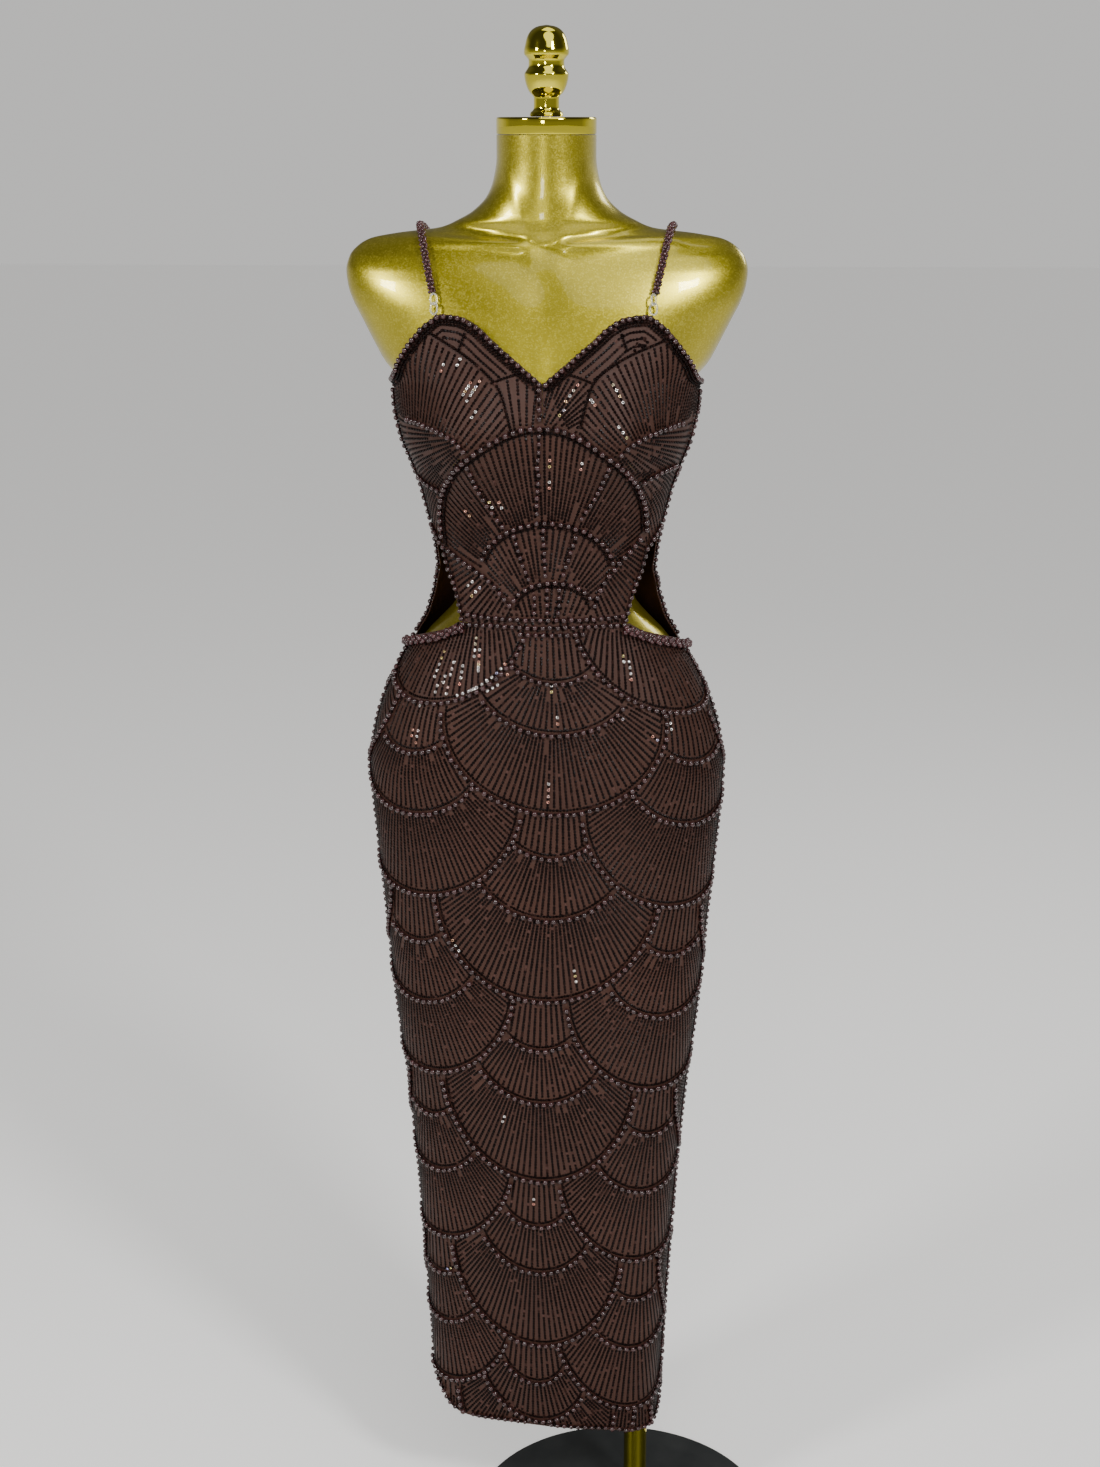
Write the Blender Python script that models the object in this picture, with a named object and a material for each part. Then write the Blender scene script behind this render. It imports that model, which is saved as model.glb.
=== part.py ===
"""Beaded column maxi dress worn by a limbless dress form on a pole and a round base.

Metres, +Z up. The front faces -Y and +X is the viewer's right. The origin lies on the floor,
under the axis of the dress form. Tables and sizes below are in millimetres.
"""

import math

import bpy
import numpy as np
from mathutils import Vector
from mathutils.geometry import delaunay_2d_cdt

MM = 0.001

# Pattern plane: u counts sixths of the girth from the centre front, positive to the viewer's right.
SIXTHS = 6
SIDE_U = 1.5
BACK_U = 3.0
PATTERN_PITCH = 150.0
SEAM_HALF_GAP = 0.15

# Steps of u and of height that the outward direction of a surface is taken over.
SLOPE_U = 0.03
SLOPE_Z = 4.0

CLOTH_WALL = 2.4
RIDGE_HEIGHT = 3.6
RIDGE_HALF_WIDTH = 2.6
BORDER_STEP = 20.0
GRID_ACROSS = 18.75
GRID_CLEARANCE = 5.0
# Heights of the points inside a cloth wall, closest where the body curves most.
GRID_LEVELS = (
    (1290.0, 1270.0, 1250.0, 1230.0, 1211.0, 1193.0, 1175.0, 1156.0, 1136.0, 1115.0, 1094.0, 1074.0)
    + (1056.0, 1039.0, 1022.0, 1006.0, 990.0, 973.0, 954.0, 933.0, 908.0, 880.0, 848.0, 813.0)
    + (775.0, 733.0, 688.0, 640.0, 590.0, 538.0, 486.0, 438.0, 392.0, 345.0, 304.0, 262.0, 199.0, 155.0)
)

# A row for each level of the dress form: half-width, depth to the front and to the back, and the
# roundness of the section, then how far the cloth stands off at the side, the front and the back.
BODY_COLUMNS = ("z", "half_width", "front", "back", "roundness", "ease_side", "ease_front", "ease_back")
BODY_ROWS = np.array(
    [
        (90.0, 116.5, 55.5, 67.5, 2.90, 2.5, 2.5, 2.5),
        (130.0, 117.5, 56.5, 67.5, 2.90, 2.5, 2.5, 2.5),
        (200.0, 119.5, 58.5, 68.5, 2.80, 2.5, 2.5, 2.5),
        (300.0, 124.5, 61.5, 70.5, 2.70, 2.5, 2.5, 2.5),
        (400.0, 130.5, 66.5, 73.5, 2.55, 2.5, 2.5, 2.5),
        (500.0, 138.5, 72.5, 79.5, 2.40, 2.5, 2.5, 2.5),
        (600.0, 150.0, 78.5, 87.0, 2.30, 2.5, 2.5, 2.5),
        (690.0, 157.5, 84.0, 95.0, 2.20, 2.5, 2.5, 2.5),
        (760.0, 164.0, 87.0, 104.0, 2.15, 2.5, 2.5, 2.5),
        (820.0, 169.5, 88.5, 113.0, 2.15, 2.5, 2.5, 2.5),
        (852.0, 171.0, 89.5, 115.5, 2.15, 2.5, 2.5, 2.5),
        (885.0, 166.5, 88.5, 112.5, 2.15, 2.5, 2.5, 2.5),
        (915.0, 158.5, 86.5, 104.5, 2.15, 2.5, 2.5, 2.5),
        (943.0, 146.5, 83.0, 93.0, 2.15, 2.5, 2.5, 2.5),
        (960.0, 137.5, 80.5, 85.5, 2.15, 3.0, 2.5, 2.5),
        (975.0, 127.5, 78.0, 78.5, 2.15, 4.5, 3.0, 3.0),
        (990.0, 116.0, 74.5, 70.5, 2.15, 7.5, 4.0, 3.5),
        (1004.0, 102.0, 71.0, 64.5, 2.15, 13.0, 6.0, 4.5),
        (1019.0, 89.0, 67.5, 60.0, 2.15, 21.0, 8.0, 5.0),
        (1034.0, 82.5, 65.5, 57.0, 2.15, 23.5, 9.0, 5.5),
        (1050.0, 82.0, 65.0, 56.0, 2.15, 20.5, 8.5, 5.5),
        (1065.0, 87.0, 65.5, 56.0, 2.15, 16.5, 7.5, 5.0),
        (1080.0, 95.0, 67.0, 57.5, 2.15, 10.5, 5.0, 4.0),
        (1109.0, 107.5, 69.0, 62.0, 2.15, 4.0, 3.0, 3.0),
        (1138.0, 116.5, 70.5, 67.5, 2.15, 2.5, 2.5, 2.5),
        (1160.0, 124.5, 71.5, 72.0, 2.15, 2.5, 2.5, 2.5),
        (1182.0, 133.5, 72.5, 75.0, 2.15, 2.5, 2.5, 2.5),
        (1210.0, 139.5, 74.5, 78.5, 2.15, 2.5, 2.5, 2.5),
        (1239.0, 142.0, 75.5, 80.0, 2.15, 2.5, 2.5, 2.5),
        (1246.0, 148.5, 75.5, 80.0, 2.15, 2.5, 2.5, 2.5),
        (1254.0, 155.0, 75.0, 80.0, 2.15, 2.5, 2.5, 2.5),
        (1268.0, 162.5, 73.5, 80.0, 2.20, 2.5, 2.5, 2.5),
        (1296.0, 176.5, 68.5, 78.0, 2.30, 2.5, 2.5, 2.5),
        (1310.0, 183.5, 65.0, 75.5, 2.35, 2.5, 2.5, 2.5),
        (1324.0, 188.0, 60.5, 72.0, 2.35, 2.5, 2.5, 2.5),
        (1338.0, 189.5, 55.5, 67.0, 2.25, 2.5, 2.5, 2.5),
        (1351.0, 186.0, 51.0, 61.0, 2.00, 2.5, 2.5, 2.5),
        (1361.0, 177.0, 48.5, 57.0, 1.65, 2.5, 2.5, 2.5),
        (1367.0, 166.0, 48.0, 54.5, 1.38, 2.5, 2.5, 2.5),
        (1372.0, 140.0, 48.5, 53.5, 1.30, 2.5, 2.5, 2.5),
        (1377.0, 100.0, 49.0, 52.5, 1.45, 2.5, 2.5, 2.5),
        (1384.0, 83.0, 49.0, 51.5, 1.75, 2.5, 2.5, 2.5),
        (1392.0, 69.0, 48.5, 50.0, 1.90, 2.5, 2.5, 2.5),
        (1406.0, 55.5, 48.0, 49.0, 2.00, 2.5, 2.5, 2.5),
        (1421.0, 49.5, 47.0, 47.5, 2.00, 2.5, 2.5, 2.5),
        (1441.0, 46.5, 46.5, 46.5, 2.00, 2.5, 2.5, 2.5),
        (1460.7, 46.5, 46.5, 46.5, 2.00, 2.5, 2.5, 2.5),
    ]
)
BODY = {name: BODY_ROWS[:, index] for index, name in enumerate(BODY_COLUMNS)}

# The bust swells from the chest as two round mounds.
BUST_X = 70.0
BUST_Z = 1186.0
BUST_SWELL = 36.0
BUST_SPREAD = 52.0
BUST_ABOVE = 58.0
BUST_BELOW = 46.0
BUST_FADE_DEPTH = 30.0

# Below the hips the flattened tube of the skirt turns a little, its right end towards the viewer.
SKIRT_TURN = math.radians(10.0)
TURN_TOP = 800.0
TURN_BOTTOM = 130.0

# The hem as u and height, from the left side seam round the front and back to it again. It rises at
# the left side and has a corner at each end of the front.
HEM_LINE = (
    (-1.5, 180.0),
    (-1.25, 160.0),
    (-1.125, 146.0),
    (-1.0, 131.0),
    (-0.875, 127.0),
    (-0.75, 126.0),
    (0.0, 129.0),
    (0.5, 130.0),
    (0.75, 128.0),
    (0.875, 124.0),
    (1.125, 123.0),
    (1.25, 128.0),
    (1.5, 138.0),
    (3.0, 159.0),
    (4.5, 180.0),
)

FORM_FOOT_Z = 620.0
FORM_RING = 36
# Rows of the body closer than this over the form's foot are left out of the form.
FORM_FIRST_STEP = 10.0

SECTION_SAMPLES = 361

# The waist seam of the skirt, as u and height, from the centre front to the centre back.
WAIST_SEAM = ((0.0, 1010.0), (0.85, 1010.0), (0.97, 1001.0), (1.2, 992.0), (1.42, 984.0), (1.5, 981.0))
BACK_WAIST_SEAM = ((1.5, 981.0), (1.8, 986.0), (2.3, 996.0), (3.0, 1000.0))

# Sweetheart neckline of the right half, as millimetres from the centre line and height.
NECKLINE = (
    (0.0, 1240.0),
    (25.0, 1260.0),
    (45.0, 1277.0),
    (61.0, 1291.0),
    (78.0, 1299.0),
    (96.0, 1301.0),
    (110.0, 1294.0),
    (126.0, 1278.0),
    (142.0, 1262.0),
    (156.0, 1248.0),
)
ARMPIT_Z = 1238.0
BACK_NECK_Z = 1226.0

# The midriff is an upside-down fan. Its round top is an ellipse, and its sides edge the cut-outs.
FAN_Z = 1103.0
FAN_HALF_WIDTH = 109.0
FAN_HEIGHT = 102.0
FAN_STEPS = 14
CUTOUT_FRONT = ((109.0, 1078.0), (103.0, 1059.0), (92.0, 1040.0), (86.0, 1024.0))
# The free edge over a cut-out rises from the fan's corner to the side seam.
CUTOUT_OVER = (122.0, 1088.0)
CUTOUT_SIDE_Z = 1096.0

# Bead rows on the midriff, as millimetres from the centre line and height.
FAN_ROWS = (
    ((-104.0, 1092.0), (-94.0, 1076.0), (-70.0, 1062.0), (-54.0, 1048.0), (-42.0, 1029.0)),
    ((104.0, 1092.0), (94.0, 1078.0), (72.0, 1062.0), (58.0, 1048.0), (48.0, 1029.0)),
    (
        (-60.0, 1071.0),
        (-50.0, 1086.0),
        (-34.0, 1098.0),
        (-16.0, 1107.0),
        (2.0, 1110.0),
        (22.0, 1107.0),
        (40.0, 1101.0),
        (54.0, 1092.0),
        (64.0, 1076.0),
    ),
    ((-32.0, 1028.0), (-20.0, 1045.0), (2.0, 1053.0), (24.0, 1050.0), (38.0, 1034.0)),
    ((-71.0, 1160.0), (-61.0, 1144.0), (-46.0, 1114.0)),
    ((68.0, 1163.0), (55.0, 1144.0), (43.0, 1116.0)),
    ((0.0, 1195.0), (0.0, 1156.0), (0.0, 1118.0)),
    ((-28.0, 1091.0), (-17.0, 1060.0)),
    ((2.0, 1101.0), (2.0, 1062.0)),
    ((30.0, 1093.0), (19.0, 1060.0)),
)
CUP_ROWS = (
    ((85.0, 1187.0), (98.0, 1194.0), (122.0, 1199.0), (150.0, 1202.0)),
    ((106.0, 1142.0), (120.0, 1150.0), (142.0, 1154.0)),
)
WAIST_ROW_Z = 1015.5
WAIST_ROW_HALF_WIDTH = 74.0
# How far bead rows along an edge lie inside it, and how far rows up a side stop short of its ends.
EDGE_ROW_INSET = 4.2
CUP_SIDE_ROW_END = 8.0
BACK_SIDE_ROW_FOOT = 990.0
BACK_SIDE_ROW_END = 4.0

# Scales of the skirt stand in six columns round the girth, each half a scale from the next. A scale's
# outer arc has SCALE_RADIUS, and its span of u on either side is SCALE_SPAN. A row for each scale
# gives the height of its foot, then the radius and the foot of the two arcs inside it.
SCALE_RADIUS = 112.0
SCALE_SPAN = 0.81
SCALE_TABLE = ("foot", "middle_radius", "middle_foot", "inner_radius", "inner_foot")
EVEN_COLUMN_SCALES = (
    (828.0, 104.0, 907.0, 80.0, 956.0),
    (629.0, 81.0, 717.0, 51.0, 782.0),
    (424.0, 81.0, 514.0, 51.0, 574.0),
    (228.0, 81.0, 315.0, 51.0, 370.0),
    (50.0, 81.0, 135.0, 51.0, 181.0),
)
ODD_COLUMN_SCALES = (
    (925.0, 81.0, 1016.0, 51.0, 1079.0),
    (728.0, 81.0, 813.0, 51.0, 875.0),
    (531.0, 81.0, 610.0, 51.0, 676.0),
    (336.0, 81.0, 415.0, 51.0, 479.0),
    (160.0, 81.0, 231.0, 51.0, 289.0),
)
FIRST_COLUMN = -3
LAST_COLUMN = 5
ARC_SAMPLES = 121
ARC_EDGE_CLEARANCE = 5.0
SHORTEST_ROW = 18.0
SCALE_ROW_STEP = 25.0
FAN_ROW_STEP = 20.0

# Rolled bead bands under the cut-outs, as u and height of the roll's centre line.
BAND_PATH = (
    (0.76, 1004.5),
    (0.86, 1000.0),
    (0.97, 992.5),
    (1.2, 983.5),
    (1.4, 976.0),
    (1.5, 973.0),
    (1.58, 972.0),
)
BAND_STEP = 10.0
BAND_RADIUS = 4.6
BAND_GAP = 0.6

STRAP_RADIUS = 4.0
STRAP_GAP = 0.6
STRAP_FRONT_X = 102.0
STRAP_TOP_X = 119.0
STRAP_BACK_X = 90.0
STRAP_PIVOT = (4.0, 1300.0)
# Bearings of the strap's points about its pivot, from the front round over the shoulder.
STRAP_BEARINGS = (18.0, 30.0, 42.0, 52.0, 60.0, 66.0, 71.0, 76.0, 81.0, 86.0, 91.0, 96.0)
STRAP_BEARINGS += (101.0, 106.0, 112.0, 119.0, 127.0, 136.0, 146.0, 158.0, 172.0, 187.0, 203.0, 216.0)
STRAP_BEARINGS += (228.4,)
STRAP_TOP_BEARING = 88.0
STRAP_SIDES = 8
STRAP_SLOPE_BEARING = 3.0
STRAP_SLOPE_X = 4.0
# The search for the body's surface along a bearing starts between these distances and halves them.
STRAP_SEARCH = (5.0, 160.0)
STRAP_SEARCH_STEPS = 24

LOOP_X = 101.0
LOOP_HALF_WIDTH = 3.4
LOOP_WIRE = 0.8
LOOP_FOOT_Z = 1302.0
LOOP_TOP_Z = 1318.9
LOOP_STAND_OFF = 1.4
LOOP_STEPS = 14
LOOP_SIDES = 5

CAP_RADIUS = 46.7
CAP_FOOT_Z = 1461.0
CAP_TOP_Z = 1476.5
CAP_BEVEL = 1.5
CAP_SIDES = 36
FINIAL_SIDES = 18
FINIAL_PROFILE = (
    (0.0, 1476.8),
    (15.0, 1476.8),
    (15.6, 1479.4),
    (13.2, 1481.8),
    (11.9, 1484.2),
    (11.8, 1493.6),
    (12.6, 1495.2),
    (15.6, 1498.2),
    (18.6, 1504.2),
    (20.4, 1511.6),
    (20.5, 1514.2),
    (16.6, 1521.6),
    (16.5, 1526.4),
    (20.5, 1531.6),
    (20.8, 1534.0),
    (19.6, 1540.0),
    (17.8, 1546.8),
    (13.9, 1552.8),
    (7.8, 1556.4),
    (0.0, 1557.6),
)

POLE_X = 98.0
POLE_RADIUS = 12.5
POLE_SIDES = 24

BASE_CENTRE = (83.0, -40.0)
BASE_RADIUS = 160.0
BASE_HEIGHT = 8.0
BASE_BEVEL = 1.5
BASE_SIDES = 56

REST_GAP = 0.3


def clear_scene():
    for item in list(bpy.data.objects):
        bpy.data.objects.remove(item, do_unlink=True)


def material(name, colour, roughness, metallic):
    made = bpy.data.materials.new(name)
    made.use_nodes = True
    shader = made.node_tree.nodes["Principled BSDF"]
    shader.inputs["Base Color"].default_value = (*colour, 1.0)
    shader.inputs["Roughness"].default_value = roughness
    shader.inputs["Metallic"].default_value = metallic
    return made


def add_object(name, vertices, faces, surface_material):
    """Adds one closed body from points in millimetres."""
    mesh = bpy.data.meshes.new(name)
    mesh.from_pydata([tuple(MM * value for value in point) for point in vertices], [], faces)
    mesh.materials.append(surface_material)
    mesh.shade_smooth()
    mesh.set_sharp_from_angle(angle=math.radians(40.0))
    mesh.validate()
    made = bpy.data.objects.new(name, mesh)
    bpy.context.scene.collection.objects.link(made)
    return made


def smooth_step(value):
    value = min(max(value, 0.0), 1.0)
    return value * value * (3.0 - 2.0 * value)


def section(z, ease):
    """Points round the body at one height, from the centre back round by the left, and their arc lengths."""
    level = {name: float(np.interp(z, BODY["z"], values)) for name, values in BODY.items()}
    half_width = level["half_width"] + ease * level["ease_side"]
    front = level["front"] + ease * level["ease_front"]
    back = level["back"] + ease * level["ease_back"]
    angle = np.linspace(-math.pi, math.pi, SECTION_SAMPLES)
    turn = SKIRT_TURN * smooth_step((TURN_TOP - z) / (TURN_TOP - TURN_BOTTOM))
    across = np.abs(np.sin(angle + turn)) / half_width
    facing = np.cos(angle + turn)
    along = np.abs(facing) / np.where(facing > 0.0, front, back)
    power = level["roundness"]
    radius = (across**power + along**power) ** (-1.0 / power)
    x = radius * np.sin(angle)
    y = -radius * np.cos(angle)
    spread = BUST_ABOVE if z > BUST_Z else BUST_BELOW
    fade = np.clip(-y / BUST_FADE_DEPTH, 0.0, 1.0)
    for side in (-1.0, 1.0):
        mound = np.exp(-(((x - side * BUST_X) / BUST_SPREAD) ** 2) - ((z - BUST_Z) / spread) ** 2)
        y = y - BUST_SWELL * mound * fade
    steps = np.hypot(np.diff(x), np.diff(y))
    length = np.concatenate([[0.0], np.cumsum(steps)])
    return x, y, length


def ring_point(u, z, ease):
    x, y, length = section(z, ease)
    middle = length[SECTION_SAMPLES // 2]
    girth = length[-1]
    place = (middle + u / SIXTHS * girth) % girth
    return Vector((float(np.interp(place, length, x)), float(np.interp(place, length, y)), z))


def outward(u, z, ease):
    across = ring_point(u + SLOPE_U, z, ease) - ring_point(u - SLOPE_U, z, ease)
    upward = ring_point(u, z + SLOPE_Z, ease) - ring_point(u, z - SLOPE_Z, ease)
    return across.cross(upward).normalized()


def cloth_point(u, z, lift):
    """A point on the inside of the cloth, moved out by lift."""
    return ring_point(u, z, 1.0) + lift * outward(u, z, 1.0)


def u_at(distance, z):
    """The pattern place at this distance round the cloth from the centre front."""
    return SIXTHS * distance / float(section(z, 1.0)[2][-1])


def to_plane(line):
    return [(u_at(distance, z) * PATTERN_PITCH, z) for distance, z in line]


def spread_out(line, step):
    """The same line with its points no further than step apart."""
    points = [line[0]]
    for start, end in zip(line[:-1], line[1:]):
        pieces = max(1, math.ceil(math.dist(start, end) / step))
        for index in range(1, pieces + 1):
            share = index / pieces
            points.append(tuple(a + share * (b - a) for a, b in zip(start, end)))
    return points


def resample(line, step):
    """Even points along a line, its ends kept."""
    lengths = [0.0]
    for start, end in zip(line[:-1], line[1:]):
        lengths.append(lengths[-1] + math.dist(start, end))
    pieces = max(2, round(lengths[-1] / step))
    places = np.linspace(0.0, lengths[-1], pieces + 1)
    columns = [np.interp(places, lengths, [point[axis] for point in line]) for axis in range(2)]
    return [tuple(map(float, pair)) for pair in zip(*columns)]


def line_normals(line, closed):
    normals = []
    count = len(line)
    for index in range(count):
        before = line[index - 1] if closed or index else line[0]
        after = line[(index + 1) % count] if closed or index < count - 1 else line[-1]
        run = Vector((after[0] - before[0], after[1] - before[1])).normalized()
        normals.append((-run.y, run.x))
    return normals


def shifted(line, distance, closed=False):
    """The line moved to its left by distance."""
    moved = []
    for point, normal in zip(line, line_normals(line, closed)):
        moved.append((point[0] + distance * normal[0], point[1] + distance * normal[1]))
    return moved


def distance_to(point, line):
    nearest = math.inf
    for start, end in zip(line[:-1], line[1:]):
        run = (end[0] - start[0], end[1] - start[1])
        reach = run[0] ** 2 + run[1] ** 2
        share = ((point[0] - start[0]) * run[0] + (point[1] - start[1]) * run[1]) / reach if reach else 0.0
        share = min(max(share, 0.0), 1.0)
        spot = (start[0] + share * run[0], start[1] + share * run[1])
        nearest = min(nearest, math.dist(point, spot))
    return nearest


def inside(point, loop):
    odd = False
    for start, end in zip(loop, loop[1:] + loop[:1]):
        if (start[1] > point[1]) != (end[1] > point[1]):
            crossing = start[0] + (point[1] - start[1]) / (end[1] - start[1]) * (end[0] - start[0])
            odd = odd != (point[0] < crossing)
    return odd


def ridge_lines(line):
    """Foot, crest and foot of a bead row whose ends run out to points."""
    left = shifted(line, RIDGE_HALF_WIDTH)[1:-1]
    right = shifted(line, -RIDGE_HALF_WIDTH)[1:-1]
    return left, line, right


def grid_points(loop, rows):
    """Points inside the loop, in levels, that stay clear of its edge and of the bead rows."""
    wide = [point[0] for point in loop]
    columns = range(math.floor(min(wide) / GRID_ACROSS), math.ceil(max(wide) / GRID_ACROSS) + 1)
    fence = [loop + loop[:1]] + rows
    points = []
    for level in GRID_LEVELS:
        for column in columns:
            spot = (column * GRID_ACROSS, level)
            if inside(spot, loop) and all(distance_to(spot, line) > GRID_CLEARANCE for line in fence):
                points.append(spot)
    return points


def triangulate(loop, rows):
    """Pattern points with a lift from 0 to 1, and the triangles that join them."""
    points = [(point, 0.0) for point in loop]
    edges = [(index, (index + 1) % len(loop)) for index in range(len(loop))]
    for row in rows:
        left, crest, right = ridge_lines(row)
        first = len(points)
        points += [(crest[0], 0.0)]
        points += [(point, 1.0) for point in crest[1:-1]]
        points += [(crest[-1], 0.0)]
        last = len(points) - 1
        edges += [(index, index + 1) for index in range(first, last)]
        for foot in (left, right):
            start = len(points)
            points += [(point, 0.0) for point in foot]
            chain = [first] + list(range(start, len(points))) + [last]
            edges += list(zip(chain[:-1], chain[1:]))
    points += [(point, 0.0) for point in grid_points(loop, rows)]
    flat = [Vector(point) for point, lift in points]
    placed, unused, faces, origins, unused_edges, unused_faces = delaunay_2d_cdt(
        flat, edges, [list(range(len(loop)))], 1, 0.0001
    )
    if len(placed) != len(points):
        raise ValueError("pattern points merged or crossed")
    lifts = [points[origin[0]][1] for origin in origins]
    order = [origin[0] for origin in origins]
    return placed, lifts, order, faces


def cloth_panel(name, border, rows, surface_material):
    """A closed cloth wall: bead rows raised outside, a plain inside, and a rim that joins them."""
    loop = shifted(spread_out(border + border[:1], BORDER_STEP)[:-1], SEAM_HALF_GAP, closed=True)
    outer, lifts, outer_order, outer_faces = triangulate(loop, rows)
    inner, unused, inner_order, inner_faces = triangulate(loop, [])
    vertices = []
    for point, lift in zip(outer, lifts):
        vertices.append(cloth_point(point.x / PATTERN_PITCH, point.y, CLOTH_WALL + lift * RIDGE_HEIGHT))
    for point in inner:
        vertices.append(cloth_point(point.x / PATTERN_PITCH, point.y, 0.0))
    offset = len(outer)
    faces = [tuple(face) for face in outer_faces]
    faces += [tuple(offset + index for index in reversed(face)) for face in inner_faces]
    outer_rim = {order: index for index, order in enumerate(outer_order) if order < len(loop)}
    inner_rim = {order: offset + index for index, order in enumerate(inner_order) if order < len(loop)}
    for index in range(len(loop)):
        after = (index + 1) % len(loop)
        faces.append((outer_rim[index], inner_rim[index], inner_rim[after]))
        faces.append((outer_rim[index], inner_rim[after], outer_rim[after]))
    return add_object(name, vertices, faces, surface_material)


def mirrored(line):
    return [(-point[0], point[1]) for point in reversed(line)]


def sewn_line(line):
    return [(u * PATTERN_PITCH, z) for u, z in line]


def scales():
    """Column and measures of every scale, the upper ones first."""
    made = []
    for column in range(FIRST_COLUMN, LAST_COLUMN + 1):
        for row in EVEN_COLUMN_SCALES if column % 2 == 0 else ODD_COLUMN_SCALES:
            made.append((float(column), dict(zip(SCALE_TABLE, row))))
    return sorted(made, key=lambda scale: -scale[1]["foot"])


def in_scale(u, z, scale, margin):
    column, sizes = scale
    across = (u - column) * PATTERN_PITCH
    reach = SCALE_RADIUS + margin
    span = SCALE_SPAN * PATTERN_PITCH + margin
    return (across / span) ** 2 + ((z - sizes["foot"] - SCALE_RADIUS) / reach) ** 2 < 1.0


def arc_line(column, foot, radius):
    """The lower half of one arc, from left to right, in the pattern plane."""
    span = radius / SCALE_RADIUS * SCALE_SPAN * PATTERN_PITCH
    line = []
    for angle in np.linspace(math.pi, 2.0 * math.pi, ARC_SAMPLES):
        across = column * PATTERN_PITCH + span * math.cos(angle)
        line.append((across, foot + radius + radius * math.sin(angle)))
    return line


def visible_runs(line, upper, loop):
    """Parts of a line inside the loop that no upper scale covers."""
    fence = loop + loop[:1]
    runs = [[]]
    for point in line:
        u = point[0] / PATTERN_PITCH
        covered = any(in_scale(u, point[1], scale, ARC_EDGE_CLEARANCE) for scale in upper)
        clear = inside(point, loop) and distance_to(point, fence) > ARC_EDGE_CLEARANCE
        if clear and not covered:
            runs[-1].append(point)
        elif runs[-1]:
            runs.append([])
    return [run for run in runs if len(run) > 1 and math.dist(run[0], run[-1]) > SHORTEST_ROW]


def scale_rows(loop):
    rows = []
    placed = scales()
    for column, sizes in placed:
        upper = [other for other in placed if other[1]["foot"] > sizes["foot"]]
        arcs = (
            (SCALE_RADIUS, sizes["foot"]),
            (sizes["middle_radius"], sizes["middle_foot"]),
            (sizes["inner_radius"], sizes["inner_foot"]),
        )
        for radius, foot in arcs:
            for run in visible_runs(arc_line(column, foot, radius), upper, loop):
                rows.append(resample(run, SCALE_ROW_STEP))
    return rows


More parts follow.
